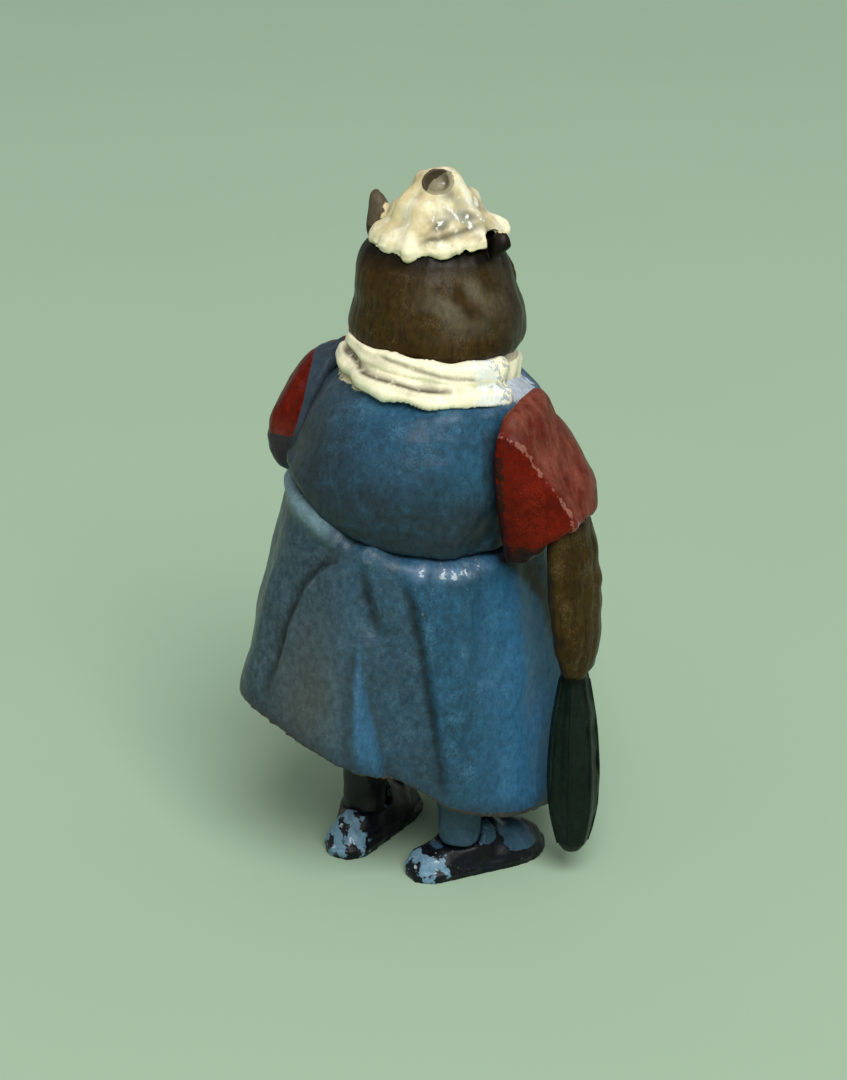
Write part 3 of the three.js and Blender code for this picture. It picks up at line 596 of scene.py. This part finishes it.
# Kerchief: two soft rolls of cloth round the neck, cast in one, with a knot and two tails in front.
# Cream enamel, dirty and with painted shade in the groove between the rolls, and cracked to bright metal
# with painted glints at the right shoulder.
def cream_colours(w, seen):
    """Thick old cream: olive dirt and painted shade in the grooves, painted grey shade, white cracked
    patches with painted glints, and grey bare recesses with painted shade along their upper edge.
    """
    seen = w.mixed(w.times(w.tone("whitened"), 0.85), seen, colour(255, 247, 214))
    seen = w.mixed(w.times(w.tone("yellowed"), 0.75), seen, colour(204, 184, 130))
    seen = w.mixed(w.times(w.tone("painted_shade_grey"), 0.9), seen, colour(158, 160, 142))
    broken = w.between(w.noise(w.millimetres(), 0.7, 4), 0.22, 0.5)
    seen = w.mixed(w.times(w.times(w.tone("grime_and_shade"), broken), 0.95), seen, colour(76, 68, 50))
    seen = w.over(seen, "cracks_and_glints", (236, 240, 234), ragged=1.4, size=0.65, depth=0.85)
    seen = w.over(seen, "blued", (140, 158, 172), ragged=1.4, size=0.4, depth=0.7)
    seen = w.over(seen, "recess", (138, 130, 104), ragged=0.4, size=0.4)
    return w.over(seen, "brown_and_shade", (62, 48, 33), ragged=0.6, size=0.35)


cream_enamel = enamel(
    "cream enamel", (244, 236, 202), (230, 216, 172), (255, 253, 238), (112, 104, 82), (104, 92, 70),
    extra=cream_colours, dabs=0.14, Mottle=0.9, Speckle=0.35, Dirt=0.6, Wear=0.1,
)
LOW_GROOVE = [(-47, 41.8), (-28, 41.65), (-11, 41.3), (8, 41.0), (22, 40.6), (37, 40.4), (55, 40.4)]
HIGH_GROOVE = [(-1, 42.5), (15, 42.1), (37, 41.35), (55, 41.0), (63, 40.8)]
NECK = 6  # cloth that lies farther from the axis than this is drawn in
VIEW = 36  # degrees from the back at which the camera stands
kerchief = Casting("kerchief", grain=0.13)
kerchief.smooth(3)
degrees, reach, height = kerchief.round()
outer = kerchief.outward()
sideways = -reach * np.sin(np.radians(degrees - VIEW))
behind = falling(np.abs(degrees - VIEW), 115, 35)
kerchief.points[:, 2] += 0.085 * sideways * behind * rising(reach, 6.2, 1.4)
tucked = 1 - 0.85 * rising(degrees, 74, 20) * falling(degrees, 176, 48)
tucked -= 0.3 * falling(degrees, -8, 20) * rising(degrees, -100, 25)
kerchief.points[:, 2] -= 0.9 * rising(degrees, 78, 20) * falling(degrees, 178, 50) * rising(reach, 5, 1)
drawn_in = np.where(reach > NECK, (NECK + (reach - NECK) * tucked) / reach, 1)
kerchief.points[:, :2] = MIDDLE + (kerchief.points[:, :2] - MIDDLE) * drawn_in[:, None]
turn = np.radians(degrees)
lengthwise = np.column_stack([1.3 * np.sin(turn), 1.3 * np.cos(turn), height - 0.5 * reach])
wrinkles = lumps(lengthwise, 1.0, 42)
kerchief.push(0.12 + 0.1 * lumps(kerchief.points, 2.8, 41) + 0.07 * wrinkles)
degrees, _, height = kerchief.round()
grooved = np.zeros(len(degrees))
for groove, deep, wide in ((LOW_GROOVE, 1.0, 0.22), (HIGH_GROOVE, 0.7, 0.17)):
    aside, along = from_path(degrees * ROUND, height, groove)
    ends = ease(along * 8 + 0.3) * ease((1 - along) * 5)
    grooved = np.maximum(grooved, deep * near(aside, 0, wide) * ends)
grooved *= outer
kerchief.push(-0.22 * grooved)
# darker in the grooves, hollows and wrinkles: dirt with painted shade
sunk = ((kerchief.averaged(kerchief.points, 30) - kerchief.points) * kerchief.normals()).sum(1)
dirt_and_shade = np.maximum(0.3 * rising(sunk, 0, 0.12), 0.2 * falling(wrinkles, -0.5, 0.7)) * outer
kerchief.tones["grime_and_shade"] = np.maximum(dirt_and_shade, grooved)
kerchief.tones["whitened"] = np.full(len(degrees), 0.9)
kerchief.tones["blued"] = 0.5 * near(degrees, 78, 16)
# white cracked patches with painted glints at the right end
kerchief.tones["cracks_and_glints"] = 0.62 * near(degrees, 66, 18)
kerchief.tones["chips"] = 0.3 * near(degrees, 70, 12) * (1 + lumps(kerchief.points, 1.0, 43))
kerchief.finish("kerchief_cast", "figure", cream_enamel)
knot = Casting("kerchief_knot", grain=0.12)
knot.smooth(3)
knot.push(0.08 + 0.08 * lumps(knot.points, 1.4, 44))
knot.finish("kerchief_knot_cast", "figure", cream_enamel)

# Head: a bell-shaped owl's head, cast solid with its ear tufts and a plug that turns in the neck socket.
# Brown enamel, streaked downward like plumage, with pale discs round dark eyes and an ochre beak.
EYE_SPREAD = 1.72
EYE_HEIGHT = 46.3


def plumage(w, seen):
    """Cream eye discs, black eyes, ochre beak and greyer tufts over the brown, by their tones, with
    painted shade under the cap and down the right side and a painted light patch.
    """
    seen = w.mixed(w.times(w.tone("painted_shade_grey"), 0.65), seen, colour(46, 42, 36))
    seen = w.mixed(w.times(w.tone("lit"), 0.7), seen, colour(116, 107, 88))
    seen = w.mixed(w.times(w.tone("shaded"), 0.95), seen, colour(16, 12, 8))
    seen = w.over(seen, "tuft", (92, 82, 66), ragged=1.8, size=0.6, depth=0.8)
    seen = w.over(seen, "creamed", (232, 218, 172), ragged=0.9, size=0.5)
    seen = w.over(seen, "disc", (206, 190, 148), ragged=0.3)
    seen = w.over(seen, "beak", (170, 120, 46), ragged=0.3)
    return w.over(seen, "eye", (16, 14, 12), ragged=0.15)


brown_enamel = enamel(
    "brown enamel", (58, 42, 12), (45, 31, 6), (86, 72, 46), (24, 18, 10), (104, 92, 70),
    extra=plumage, shine=0.12, dabs=0.35, Mottle=0.75, Streak=0.6, Speckle=0.35, Wear=0.35,
)
head = Casting("head", grain=0.125)
head.smooth(2)
degrees, reach, height = head.round()
outer = head.outward()
turn = np.radians(degrees)
downward = np.column_stack([np.sin(turn) * 6, np.cos(turn) * 6, height * 0.12])
bare = outer * (np.abs(degrees - 20) < 45)
levels = np.arange(46.0, 51.0, 0.25)
profile = [np.median(reach[(np.abs(height - level) < 0.2) & (bare > 0.9)]) for level in levels]
under = falling(height, 50.0, 1.4) * rising(height, 46.5, 0.5) * (np.abs(degrees - 90) < 40)
over_skin = np.clip(reach - np.interp(height, levels, profile), 0, None)
head.points[:, :2] -= (head.points[:, :2] - MIDDLE) * (under * over_skin * 0.85 / reach)[:, None]
cheek = near(np.abs(degrees), 150, 18) * near(height, 47.9, 1.5)
head.points[:, :2] -= (head.points[:, :2] - MIDDLE) * (0.45 * cheek * outer / reach)[:, None]
head.push(outer * (0.025 * lumps(downward, 0.9, 51) + 0.1 * lumps(head.points, 3.6, 52)))
head.push(0.5 * near(degrees, -54, 45) * near(height, 48.5, 2.5) * falling(reach, 6.4, 0.4))
x, y, z = (head.points - FOOT).T
eyes = [np.hypot(x - side * EYE_SPREAD, z - EYE_HEIGHT) for side in (-1, 1)]
front = ease((-y - 4.95 + 0.3 * (z - EYE_HEIGHT)) / 0.15)  # the discs lean back as they rise
head.tones["disc"] = front * np.max([falling(far, 1.85, 0.3) for far in eyes], axis=0)
head.tones["eye"] = front * np.max([falling(far, 0.9, 0.3) for far in eyes], axis=0)
head.tones["beak"] = falling(y, -5.6, 0.3) * falling(np.abs(x), 0.9, 0.3) * near(z, 45, 1.9)
head.tones["tuft"] = rising(x, 4.4, 0.5) * rising(z, 49.4, 0.8)
right_tuft = falling(x, -4.4, 0.4)
left_smear = rising(z, 49.9, 0.4) * near(x, 4.5, 0.6)
head.tones["creamed"] = 0.8 * right_tuft * rising(z, 50.6, 0.5) + 0.75 * left_smear
under_cap = near(z, 49.6, 1.2) * falling(np.abs(x), 5.6, 0.6)
head.tones["shaded"] = under_cap + right_tuft * near(z, 50.0, 1.0)
patchy = ease(0.6 + 0.4 * lumps(head.points, 3, 53))
head.tones["lit"] = near(degrees, 54, 26) * near(z, 46.6, 2.2) * patchy
# painted shade, grey, down the head's right side
head.tones["painted_shade_grey"] = rising(degrees, 74, 20) * falling(degrees, 150, 30)
head.finish("head_cast", "head", brown_enamel)


def grown(name, tree, base, material, **sizes):
    """The plain mesh that a Geometry Nodes tree grows from a base curve or mesh, in its given sizes."""
    seed = linked(name, base)
    growth = seed.modifiers.new(name, "NODES")
    growth.node_group = tree
    for item in tree.interface.items_tree:
        if item.in_out == "INPUT" and item.name in sizes:
            growth[item.identifier] = sizes[item.name]
        if item.in_out == "INPUT" and item.name == "Paint":
            growth[item.identifier] = material
    bpy.context.view_layer.update()
    mesh = bpy.data.meshes.new_from_object(seed.evaluated_get(bpy.context.evaluated_depsgraph_get()))
    seed.modifiers.remove(growth)
    bpy.data.objects.remove(seed)
    return mesh


def growing(name, **sizes):
    """A new Geometry Nodes tree with named inputs: geometry, sizes with usual values, and paint."""
    tree = bpy.data.node_groups.new(name, "GeometryNodeTree")
    sockets(tree, "INPUT", "Geometry", "Geometry")
    for size, usual in sizes.items():
        kind = "NodeSocketInt" if isinstance(usual, int) else "NodeSocketFloat"
        tree.interface.new_socket(size, in_out="INPUT", socket_type=kind).default_value = usual
    sockets(tree, "INPUT", "Material", "Paint")
    sockets(tree, "OUTPUT", "Geometry", "Geometry")
    return Wiring(tree), tree.nodes.new("NodeGroupInput").outputs


def realized(w, instances, given):
    """Ends a tree: instances made real, smooth and painted."""
    real = w.node("GeometryNodeRealizeInstances", {"Geometry": instances}).outputs[0]
    smooth = w.node("GeometryNodeSetShadeSmooth", {"Geometry": real}).outputs[0]
    takes = {"Geometry": smooth, "Material": given["Paint"]}
    painted = w.node("GeometryNodeSetMaterial", takes).outputs[0]
    w.node("NodeGroupOutput", {"Geometry": painted})
    return w.tree


def disc_feathers():
    """A ring of short flat feathers that point away from the middle."""
    w, given = growing("disc feathers", Count=18, Radius=0.92, Length=0.34, Width=0.19, Thickness=0.12)
    takes = {"Vertices": given["Count"], "Radius": given["Radius"]}
    ring = w.node("GeometryNodeMeshCircle", takes).outputs[0]
    feather = w.node("GeometryNodeMeshUVSphere", {"Segments": 8, "Rings": 6, "Radius": 1.0}).outputs[0]
    away = w.node("GeometryNodeInputPosition", {}).outputs[0]
    turn = w.node("FunctionNodeAlignRotationToVector", {"Vector": away}, axis="X").outputs[0]
    takes = {0: given["Length"], 1: given["Width"], 2: given["Thickness"]}
    shape = w.node("ShaderNodeCombineXYZ", takes).outputs[0]
    takes = {"Points": ring, "Instance": feather, "Rotation": turn, "Scale": shape}
    return realized(w, w.node("GeometryNodeInstanceOnPoints", takes).outputs[0], given)


FEATHERS = disc_feathers()
NEIGHBOURS = 12  # points of the face that a feather's point is laid over
face = (y < -3) & (np.abs(x) < 4) & (np.abs(z - EYE_HEIGHT) < 2.5)
for side, name in ((1, "left"), (-1, "right")):
    ring = grown(name + "_eye_disc", FEATHERS, bpy.data.meshes.new("ring"), cream_enamel)
    flat = coordinates(ring)
    spot = np.column_stack([flat[:, 0] + side * EYE_SPREAD, flat[:, 1] + EYE_HEIGHT])
    apart = np.hypot(x[face, None] - spot[:, 0], z[face, None] - spot[:, 1])
    closest = [np.argpartition(row, NEIGHBOURS)[:NEIGHBOURS] for row in apart.T]
    skin = np.array([y[face][chosen].min() for chosen in closest])
    move_to(ring, (np.column_stack([spot[:, 0], skin - flat[:, 2], spot[:, 1]]) + FOOT) / MM)
    disc = linked(name + "_eye_disc_cast", ring)
    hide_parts("head")
    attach(disc, "head")

# Cap: a mob cap with a drawn peak and a ragged frill, cast separately and soldered on the head between
# the tufts. Thick cream enamel with painted shade in its hollows, along the frill line, on its right
# flank and at the recess's upper edge, and painted glints. The casting recess behind the peak has lost
# its paint.
VENT = np.array([-0.9, 1.25, 54.4])  # from the axis
FRILL_LINE = [(11, 50.3), (30, 50.8), (47, 51.0), (73, 51.3), (100, 51.5)]
cap = Casting("cap", grain=0.105)
cap.smooth(2)
degrees, _, height = cap.round()
brim = falling(height, 51.2, 1.2)
flank = near(height, 52, 1.3)
cap.points[:, :2] -= (cap.points[:, :2] - MIDDLE) * (0.06 + 0.07 * flank)[:, None]
bearings, rim = lowest(degrees, height, step=6, within=4)
level = np.array([rim[np.abs((bearings - b + 180) % 360 - 180) < 40].mean() for b in bearings])
lift = 0.65 * np.interp(degrees, bearings, level - rim) + 0.5 * near(degrees, 85, 35)
cap.points[:, 2] += lift * brim
ragged = 0.06 * brim * lumps(cap.points, 1.3, 63)
cap.push(0.2 * lumps(cap.points, 2.8, 61) + 0.03 * lumps(cap.points, 1.1, 62) + ragged)
from_vent = cap.points - VENT - FOOT
inside = falling(np.linalg.norm(from_vent, axis=1), 1.32, 0.16)
upper_left = from_vent @ np.array([0.49, 0.35, 0.8])
cap.tones["recess"] = 0.8 * inside
# painted shade, dark brown, along the recess's upper edge
cap.tones["brown_and_shade"] = 0.75 * inside * rising(upper_left, -0.5, 0.7)
# painted glints, white, over the right of the cap
cap.tones["cracks_and_glints"] = 0.38 * rising(degrees, -10, 40) * rising(height, 50.5, 1)
degrees, _, height = cap.round()
# the frill line is sunk a little and painted as a shadow line
aside, along = from_path(degrees * ROUND, height, FRILL_LINE)
line = near(aside, 0, 0.3) * ease(along * 4) * ease((1 - along) * 4)
cap.push(-0.1 * line)
crown = rising(height, 50.4, 0.8)
cap.tones["yellowed"] = crown * ease(0.72 + 0.5 * lumps(cap.points, 2.2, 65))
cap.tones["whitened"] = ease(0.15 + 0.9 * lumps(cap.points, 2.4, 67)) * rising(degrees, -25, 50)
cap.tones["yellowed"] *= 1 - 0.8 * cap.tones["whitened"]
patchy = ease(0.6 + 0.5 * lumps(cap.points, 1.8, 66))
# painted shade, grey, on the cap's right flank
cap.tones["painted_shade_grey"] = near(degrees, 68, 34) * near(height, 52.0, 1.4) * patchy
# darker in hollows, in patches and along the frill line: grime with painted shade
sunk = ((cap.averaged(cap.points, 30) - cap.points) * cap.normals()).sum(1)
patches = np.clip(lumps(cap.points, 2.6, 64) - 0.3, 0, 1) * crown
dirt_and_shade = 0.75 * np.maximum(rising(sunk, 0, 0.1), patches) * rising(degrees, -45, 60)
cap.tones["grime_and_shade"] = np.maximum(dirt_and_shade, 0.85 * line)
cap.finish("cap_cast", "head", cream_enamel)

# Sleeves: puffed sleeves, each a small casting. The left is soldered on with the elbow out, the right
# turns on the shoulder peg. Dark red enamel with painted sheen, a rubbed ridge with a painted highlight
# down the right one, and charred edges.
def red_colours(w, seen):
    """Faded red with painted sheen outside the ridge, a rubbed pink ridge with a painted highlight, lilac
    rubs, blue runs and charred brown edges.
    """
    streaks = w.between(w.noise(w.millimetres((1, 1, 0.35)), 0.9, 3), 0.25, 0.75)
    faded_and_painted_light = w.mixed(streaks, colour(88, 34, 24), colour(132, 76, 62))
    seen = w.mixed(w.times(w.tone("faded_and_painted_light"), 0.75), seen, faded_and_painted_light)
    seen = w.over(seen, "rubs_and_highlights", (150, 98, 86), ragged=1.1, size=0.45, depth=0.75)
    seen = w.over(seen, "lilac", (132, 120, 132), ragged=1.1, size=0.4, depth=0.7)
    seen = w.over(seen, "slated", (36, 46, 53), ragged=0.8, size=0.9)
    seen = w.over(seen, "run", (46, 68, 80), ragged=0.6, size=0.9)
    return w.over(seen, "charred", (32, 20, 15), ragged=1.1, size=0.6, depth=0.85)


def from_line(points, line):
    """Distance from a line of points in space, and 0 to 1 along it. The line is measured from the axis."""
    best = np.full(len(points), 1e9)
    along = np.zeros(len(points))
    line = np.array(line) + FOOT
    for i, (a, b) in enumerate(zip(line, line[1:])):
        t = np.clip((points - a) @ (b - a) / ((b - a) @ (b - a)), 0, 1)
        far = np.linalg.norm(points - a - t[:, None] * (b - a), axis=1)
        along = np.where(far < best, (i + t) / (len(line) - 1), along)
        best = np.minimum(best, far)
    return best, along


RIDGE = [  # from the axis, going down
    (-9.3, 4.5, 37.3), (-11.0, 3.7, 36.4), (-12.1, 2.7, 33.9), (-12.8, 1.6, 31.5), (-13.3, 1.0, 29.5),
]
red_enamel = enamel(
    "red enamel", (96, 15, 0), (76, 10, 0), (116, 30, 8), (30, 14, 9), (122, 72, 56),
    extra=red_colours, shine=0.12, Mottle=0.85, Speckle=0.5, Dirt=0.7, Wear=0.35,
)
for side, body in (("left", "figure"), ("right", "right_arm")):
    sleeve = Casting(side + "_sleeve", grain=0.13)
    sleeve.smooth(3)
    if side == "right":
        thick = sleeve.points[:, 0] - sleeve.points[:, 0].max()
        sleeve.points[:, 0] -= 0.3 * thick * rising(sleeve.points[:, 2], 31.5, 5)
        sleeve.smooth(60)
        sleeve.push(0.15)
        low = falling(sleeve.points[:, 2], 31, 2.5)
        sleeve.points[:, 2] -= low * (0.7 + 0.2 * lumps(sleeve.points, 1.6, 73))
        from_ridge, along = from_line(sleeve.points, RIDGE)
        sleeve.push(0.22 * near(from_ridge, 0, 0.6) * ease(along * 4))
        x, y, z = (sleeve.points - FOOT).T
        facing_back = sleeve.normals()[:, 1]
        _, ridge_y, ridge_z = np.array(RIDGE[::-1]).T
        past = y - np.interp(z, ridge_z, ridge_y)
        # paler, faded red with painted sheen on the side before the ridge
        sleeve.tones["faded_and_painted_light"] = falling(past, 0.3, 0.8) * rising(facing_back, -0.8, 0.6)
        # pink rubbed ridge with a painted highlight along it
        uneven = 0.6 + 0.18 * lumps(sleeve.points, 1.8, 74)
        sleeve.tones["rubs_and_highlights"] = uneven * near(past, 0.1, 0.36) * rising(facing_back, -0.2, 0.4)
        low = falling(z, 31.4, 1.4) * rising(facing_back, -0.6, 0.4)
        sleeve.tones["lilac"] = 0.62 * near(past, -0.6, 0.9) * low
        chipped = 0.62 * rising(x, -10.1, 0.9) * falling(z, 36.8, 1.5)
        sleeve.tones["charred"] = np.maximum(0.75 * falling(z, 30.2, 2.2), chipped)
    else:
        away = sleeve.points[:, :2] - MIDDLE
        away /= np.linalg.norm(away, axis=1)[:, None]
        sleeve.push(0.5 * falling((sleeve.normals()[:, :2] * away).sum(1), 0, 0.5))
        x, y, z = (sleeve.points - FOOT).T
        # paler, faded red with painted sheen low on the sleeve
        sleeve.tones["faded_and_painted_light"] = falling(z, 35.5, 3)
        inner = ease((-0.81 * x - 0.59 * y + 9.7 + 0.27 * (39.5 - z)) / 0.6)
        sleeve.tones["run"] = inner * rising(sleeve.normals()[:, 1], -0.3, 0.5)
        sleeve.tones["slated"] = 0.85 * falling(z, 34.6, 1.6)
    sleeve.push(0.07 * lumps(sleeve.points, 3.4, 71) + 0.015 * lumps(sleeve.points, 1.1, 72))
    sleeve.finish(side + "_sleeve_cast", body, red_enamel)

# Wings: feathered wing ends that come out of the cuffs in place of hands, cast with the sleeves' linings.
# Brown enamel over shallow quills.
QUILL_SPACING = 1.3
for side, body, across_quills in (
    ("left", "figure", (0, 0.66, -0.75)), ("right", "right_arm", (0.35, 0.94, 0)),
):
    wing = Casting(side + "_wing", grain=0.125)
    wing.smooth(2)
    place = wing.points @ np.array(across_quills) + 0.25 * lumps(wing.points, 4, 83)
    quills = np.abs(np.sin(place * math.pi / QUILL_SPACING)) ** 0.5
    wing.push(0.12 * (quills - 0.8) + 0.06 * lumps(wing.points, 2.4, 82))
    wing.finish(side + "_wing_cast", body, brown_enamel)

# Umbrella: a furled umbrella cast in one with its folds, and a stick with a knob that the right wing
# holds. Almost black green enamel, brown where the edges are rubbed.
green_enamel = enamel(
    "green enamel", (15, 28, 19), (11, 21, 14), (26, 40, 31), (12, 13, 11), (58, 47, 31),
    shine=0.14, Speckle=0.4, Wear=0.6,
)
canopy = Casting("umbrella_canopy", grain=0.11)
canopy.smooth(2)
canopy.push(0.06 * lumps(canopy.points, 3, 91))
canopy.finish("umbrella_canopy_cast", "right_arm", green_enamel)
RIBS = 7


def umbrella_ribs():
    """Equal round ribs about an upright axis. Each follows the base line, the furled outline."""
    w, given = growing("umbrella ribs", Count=RIBS, Phase=0.0, Thickness=0.12)
    line = w.node("GeometryNodeMeshToCurve", {"Mesh": given["Geometry"]}).outputs[0]
    takes = {"Resolution": 8, "Radius": given["Thickness"]}
    section = w.node("GeometryNodeCurvePrimitiveCircle", takes).outputs[0]
    takes = {"Curve": line, "Profile Curve": section, "Fill Caps": True}
    rib = w.node("GeometryNodeCurveToMesh", takes).outputs[0]
    stack = w.node("GeometryNodeMeshLine", {"Count": given["Count"], "Offset": (0, 0, 0)}).outputs[0]
    step = w.maths("DIVIDE", 2 * math.pi, given["Count"])
    index = w.node("GeometryNodeInputIndex", {}).outputs[0]
    angle = w.maths("ADD", w.times(index, step), given["Phase"])
    turn = w.node("ShaderNodeCombineXYZ", {2: angle}).outputs[0]
    turned = w.node("FunctionNodeEulerToRotation", {0: turn}).outputs[0]
    takes = {"Points": stack, "Instance": rib, "Rotation": turned}
    return realized(w, w.node("GeometryNodeInstanceOnPoints", takes).outputs[0], given)


centre = canopy.points.mean(0)
lengthways = np.linalg.svd(canopy.points - centre, full_matrices=False)[2][0]
lengthways *= np.sign(lengthways[2])
aside = np.cross(lengthways, [0.0, 1.0, 0.0])
aside /= np.linalg.norm(aside)
axes = np.array([aside, np.cross(lengthways, aside), lengthways])
across, depth, along = ((canopy.points - centre) @ axes.T).T
reach, angle = np.hypot(across, depth), np.arctan2(depth, across)
phase = float(np.angle((reach * np.exp(1j * RIBS * angle)).sum()) / RIBS)
on_ridge = np.cos(RIBS * (angle - phase)) > 0.8
stations = np.linspace(along.min() + 0.9, along.max() - 0.6, 14)
outline = [(np.median(reach[on_ridge & (np.abs(along - s) < 0.3)]), 0, s) for s in stations]
base = bpy.data.meshes.new("rib line")
base.from_pydata(outline, [(i, i + 1) for i in range(len(outline) - 1)], [])
sizes = {"Count": RIBS, "Phase": phase, "Thickness": 0.13}
ribs = grown("umbrella_ribs", umbrella_ribs(), base, green_enamel, **sizes)
move_to(ribs, (coordinates(ribs) @ axes + centre) / MM)
rib_piece = linked("umbrella_ribs_cast", ribs)
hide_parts("umbrella_canopy")
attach(rib_piece, "right_arm")
handle = Casting("umbrella_handle", grain=0.1)
handle.smooth(2)
handle.finish("umbrella_handle_cast", "right_arm", olive_enamel)

# Studio: a plain pale floor, one large soft lamp high on the right, a weak one on the left and an even
# sky. The camera stands behind the figure's right shoulder and looks a little down.
AIM = Vector((MIDDLE[0] + 0.4, MIDDLE[1] + 1.2, 25.9)) / MM
BACK = Vector((-0.5450, 0.7501, 0.3746))  # from the aim to the camera
RIGHT = Vector((-0.8090, -0.5878, 0.0))  # to the right in the picture
DISTANCE = 0.215  # metres
LENS, SENSOR = 93.525, 36  # millimetres
FLOOR_HALF = 3.0  # metres
floor_paint = bpy.data.materials.new("pale floor")
floor_paint.use_nodes = True
w = Wiring(floor_paint.node_tree)
shader = floor_paint.node_tree.nodes["Principled BSDF"]
tint = w.mixed(w.noise(w.millimetres(), 40, 2), colour(170, 195, 168), colour(167, 192, 165))
floor_paint.node_tree.links.new(tint, shader.inputs["Base Color"])
shader.inputs["Roughness"].default_value = 0.9
shader.inputs["Specular IOR Level"].default_value = 0.1
floor_mesh = bpy.data.meshes.new("floor")
corners = [(x * FLOOR_HALF, y * FLOOR_HALF, 0) for x, y in ((-1, -1), (1, -1), (1, 1), (-1, 1))]
floor_mesh.from_pydata(corners, [], [(0, 1, 2, 3)])
floor_mesh.materials.append(floor_paint)
floor = linked("floor", floor_mesh)

for name, way, far, size, watts in (
    ("key lamp", BACK * 0.9 + RIGHT * 0.2 + Vector((0, 0, 0.65)), 1.6, 1.0, 25.0),
    ("fill lamp", BACK * 0.9 - RIGHT * 0.8 + Vector((0, 0, 0.2)), 1.6, 1.2, 1.0),
):
    lamp = bpy.data.lights.new(name, "AREA")
    lamp.energy = watts
    lamp.size = size
    stand = linked(name, lamp)
    stand.location = AIM + way.normalized() * far
    stand.rotation_euler = way.to_track_quat("Z", "Y").to_euler()

sky = bpy.data.worlds.new("sky")
sky.use_nodes = True
even = sky.node_tree.nodes["Background"].inputs
even["Color"].default_value = (0.97, 1.0, 0.98, 1)
even["Strength"].default_value = 0.33
bpy.context.scene.world = sky
bpy.context.scene.view_settings.view_transform = "Standard"

camera = bpy.data.cameras.new("camera")
camera.sensor_fit = "VERTICAL"
camera.sensor_height = SENSOR
camera.lens = LENS
camera.clip_start = 0.005
tripod = linked("camera", camera)
tripod.location = AIM + BACK * DISTANCE
tripod.rotation_euler = BACK.to_track_quat("Z", "Y").to_euler()
bpy.context.scene.camera = tripod
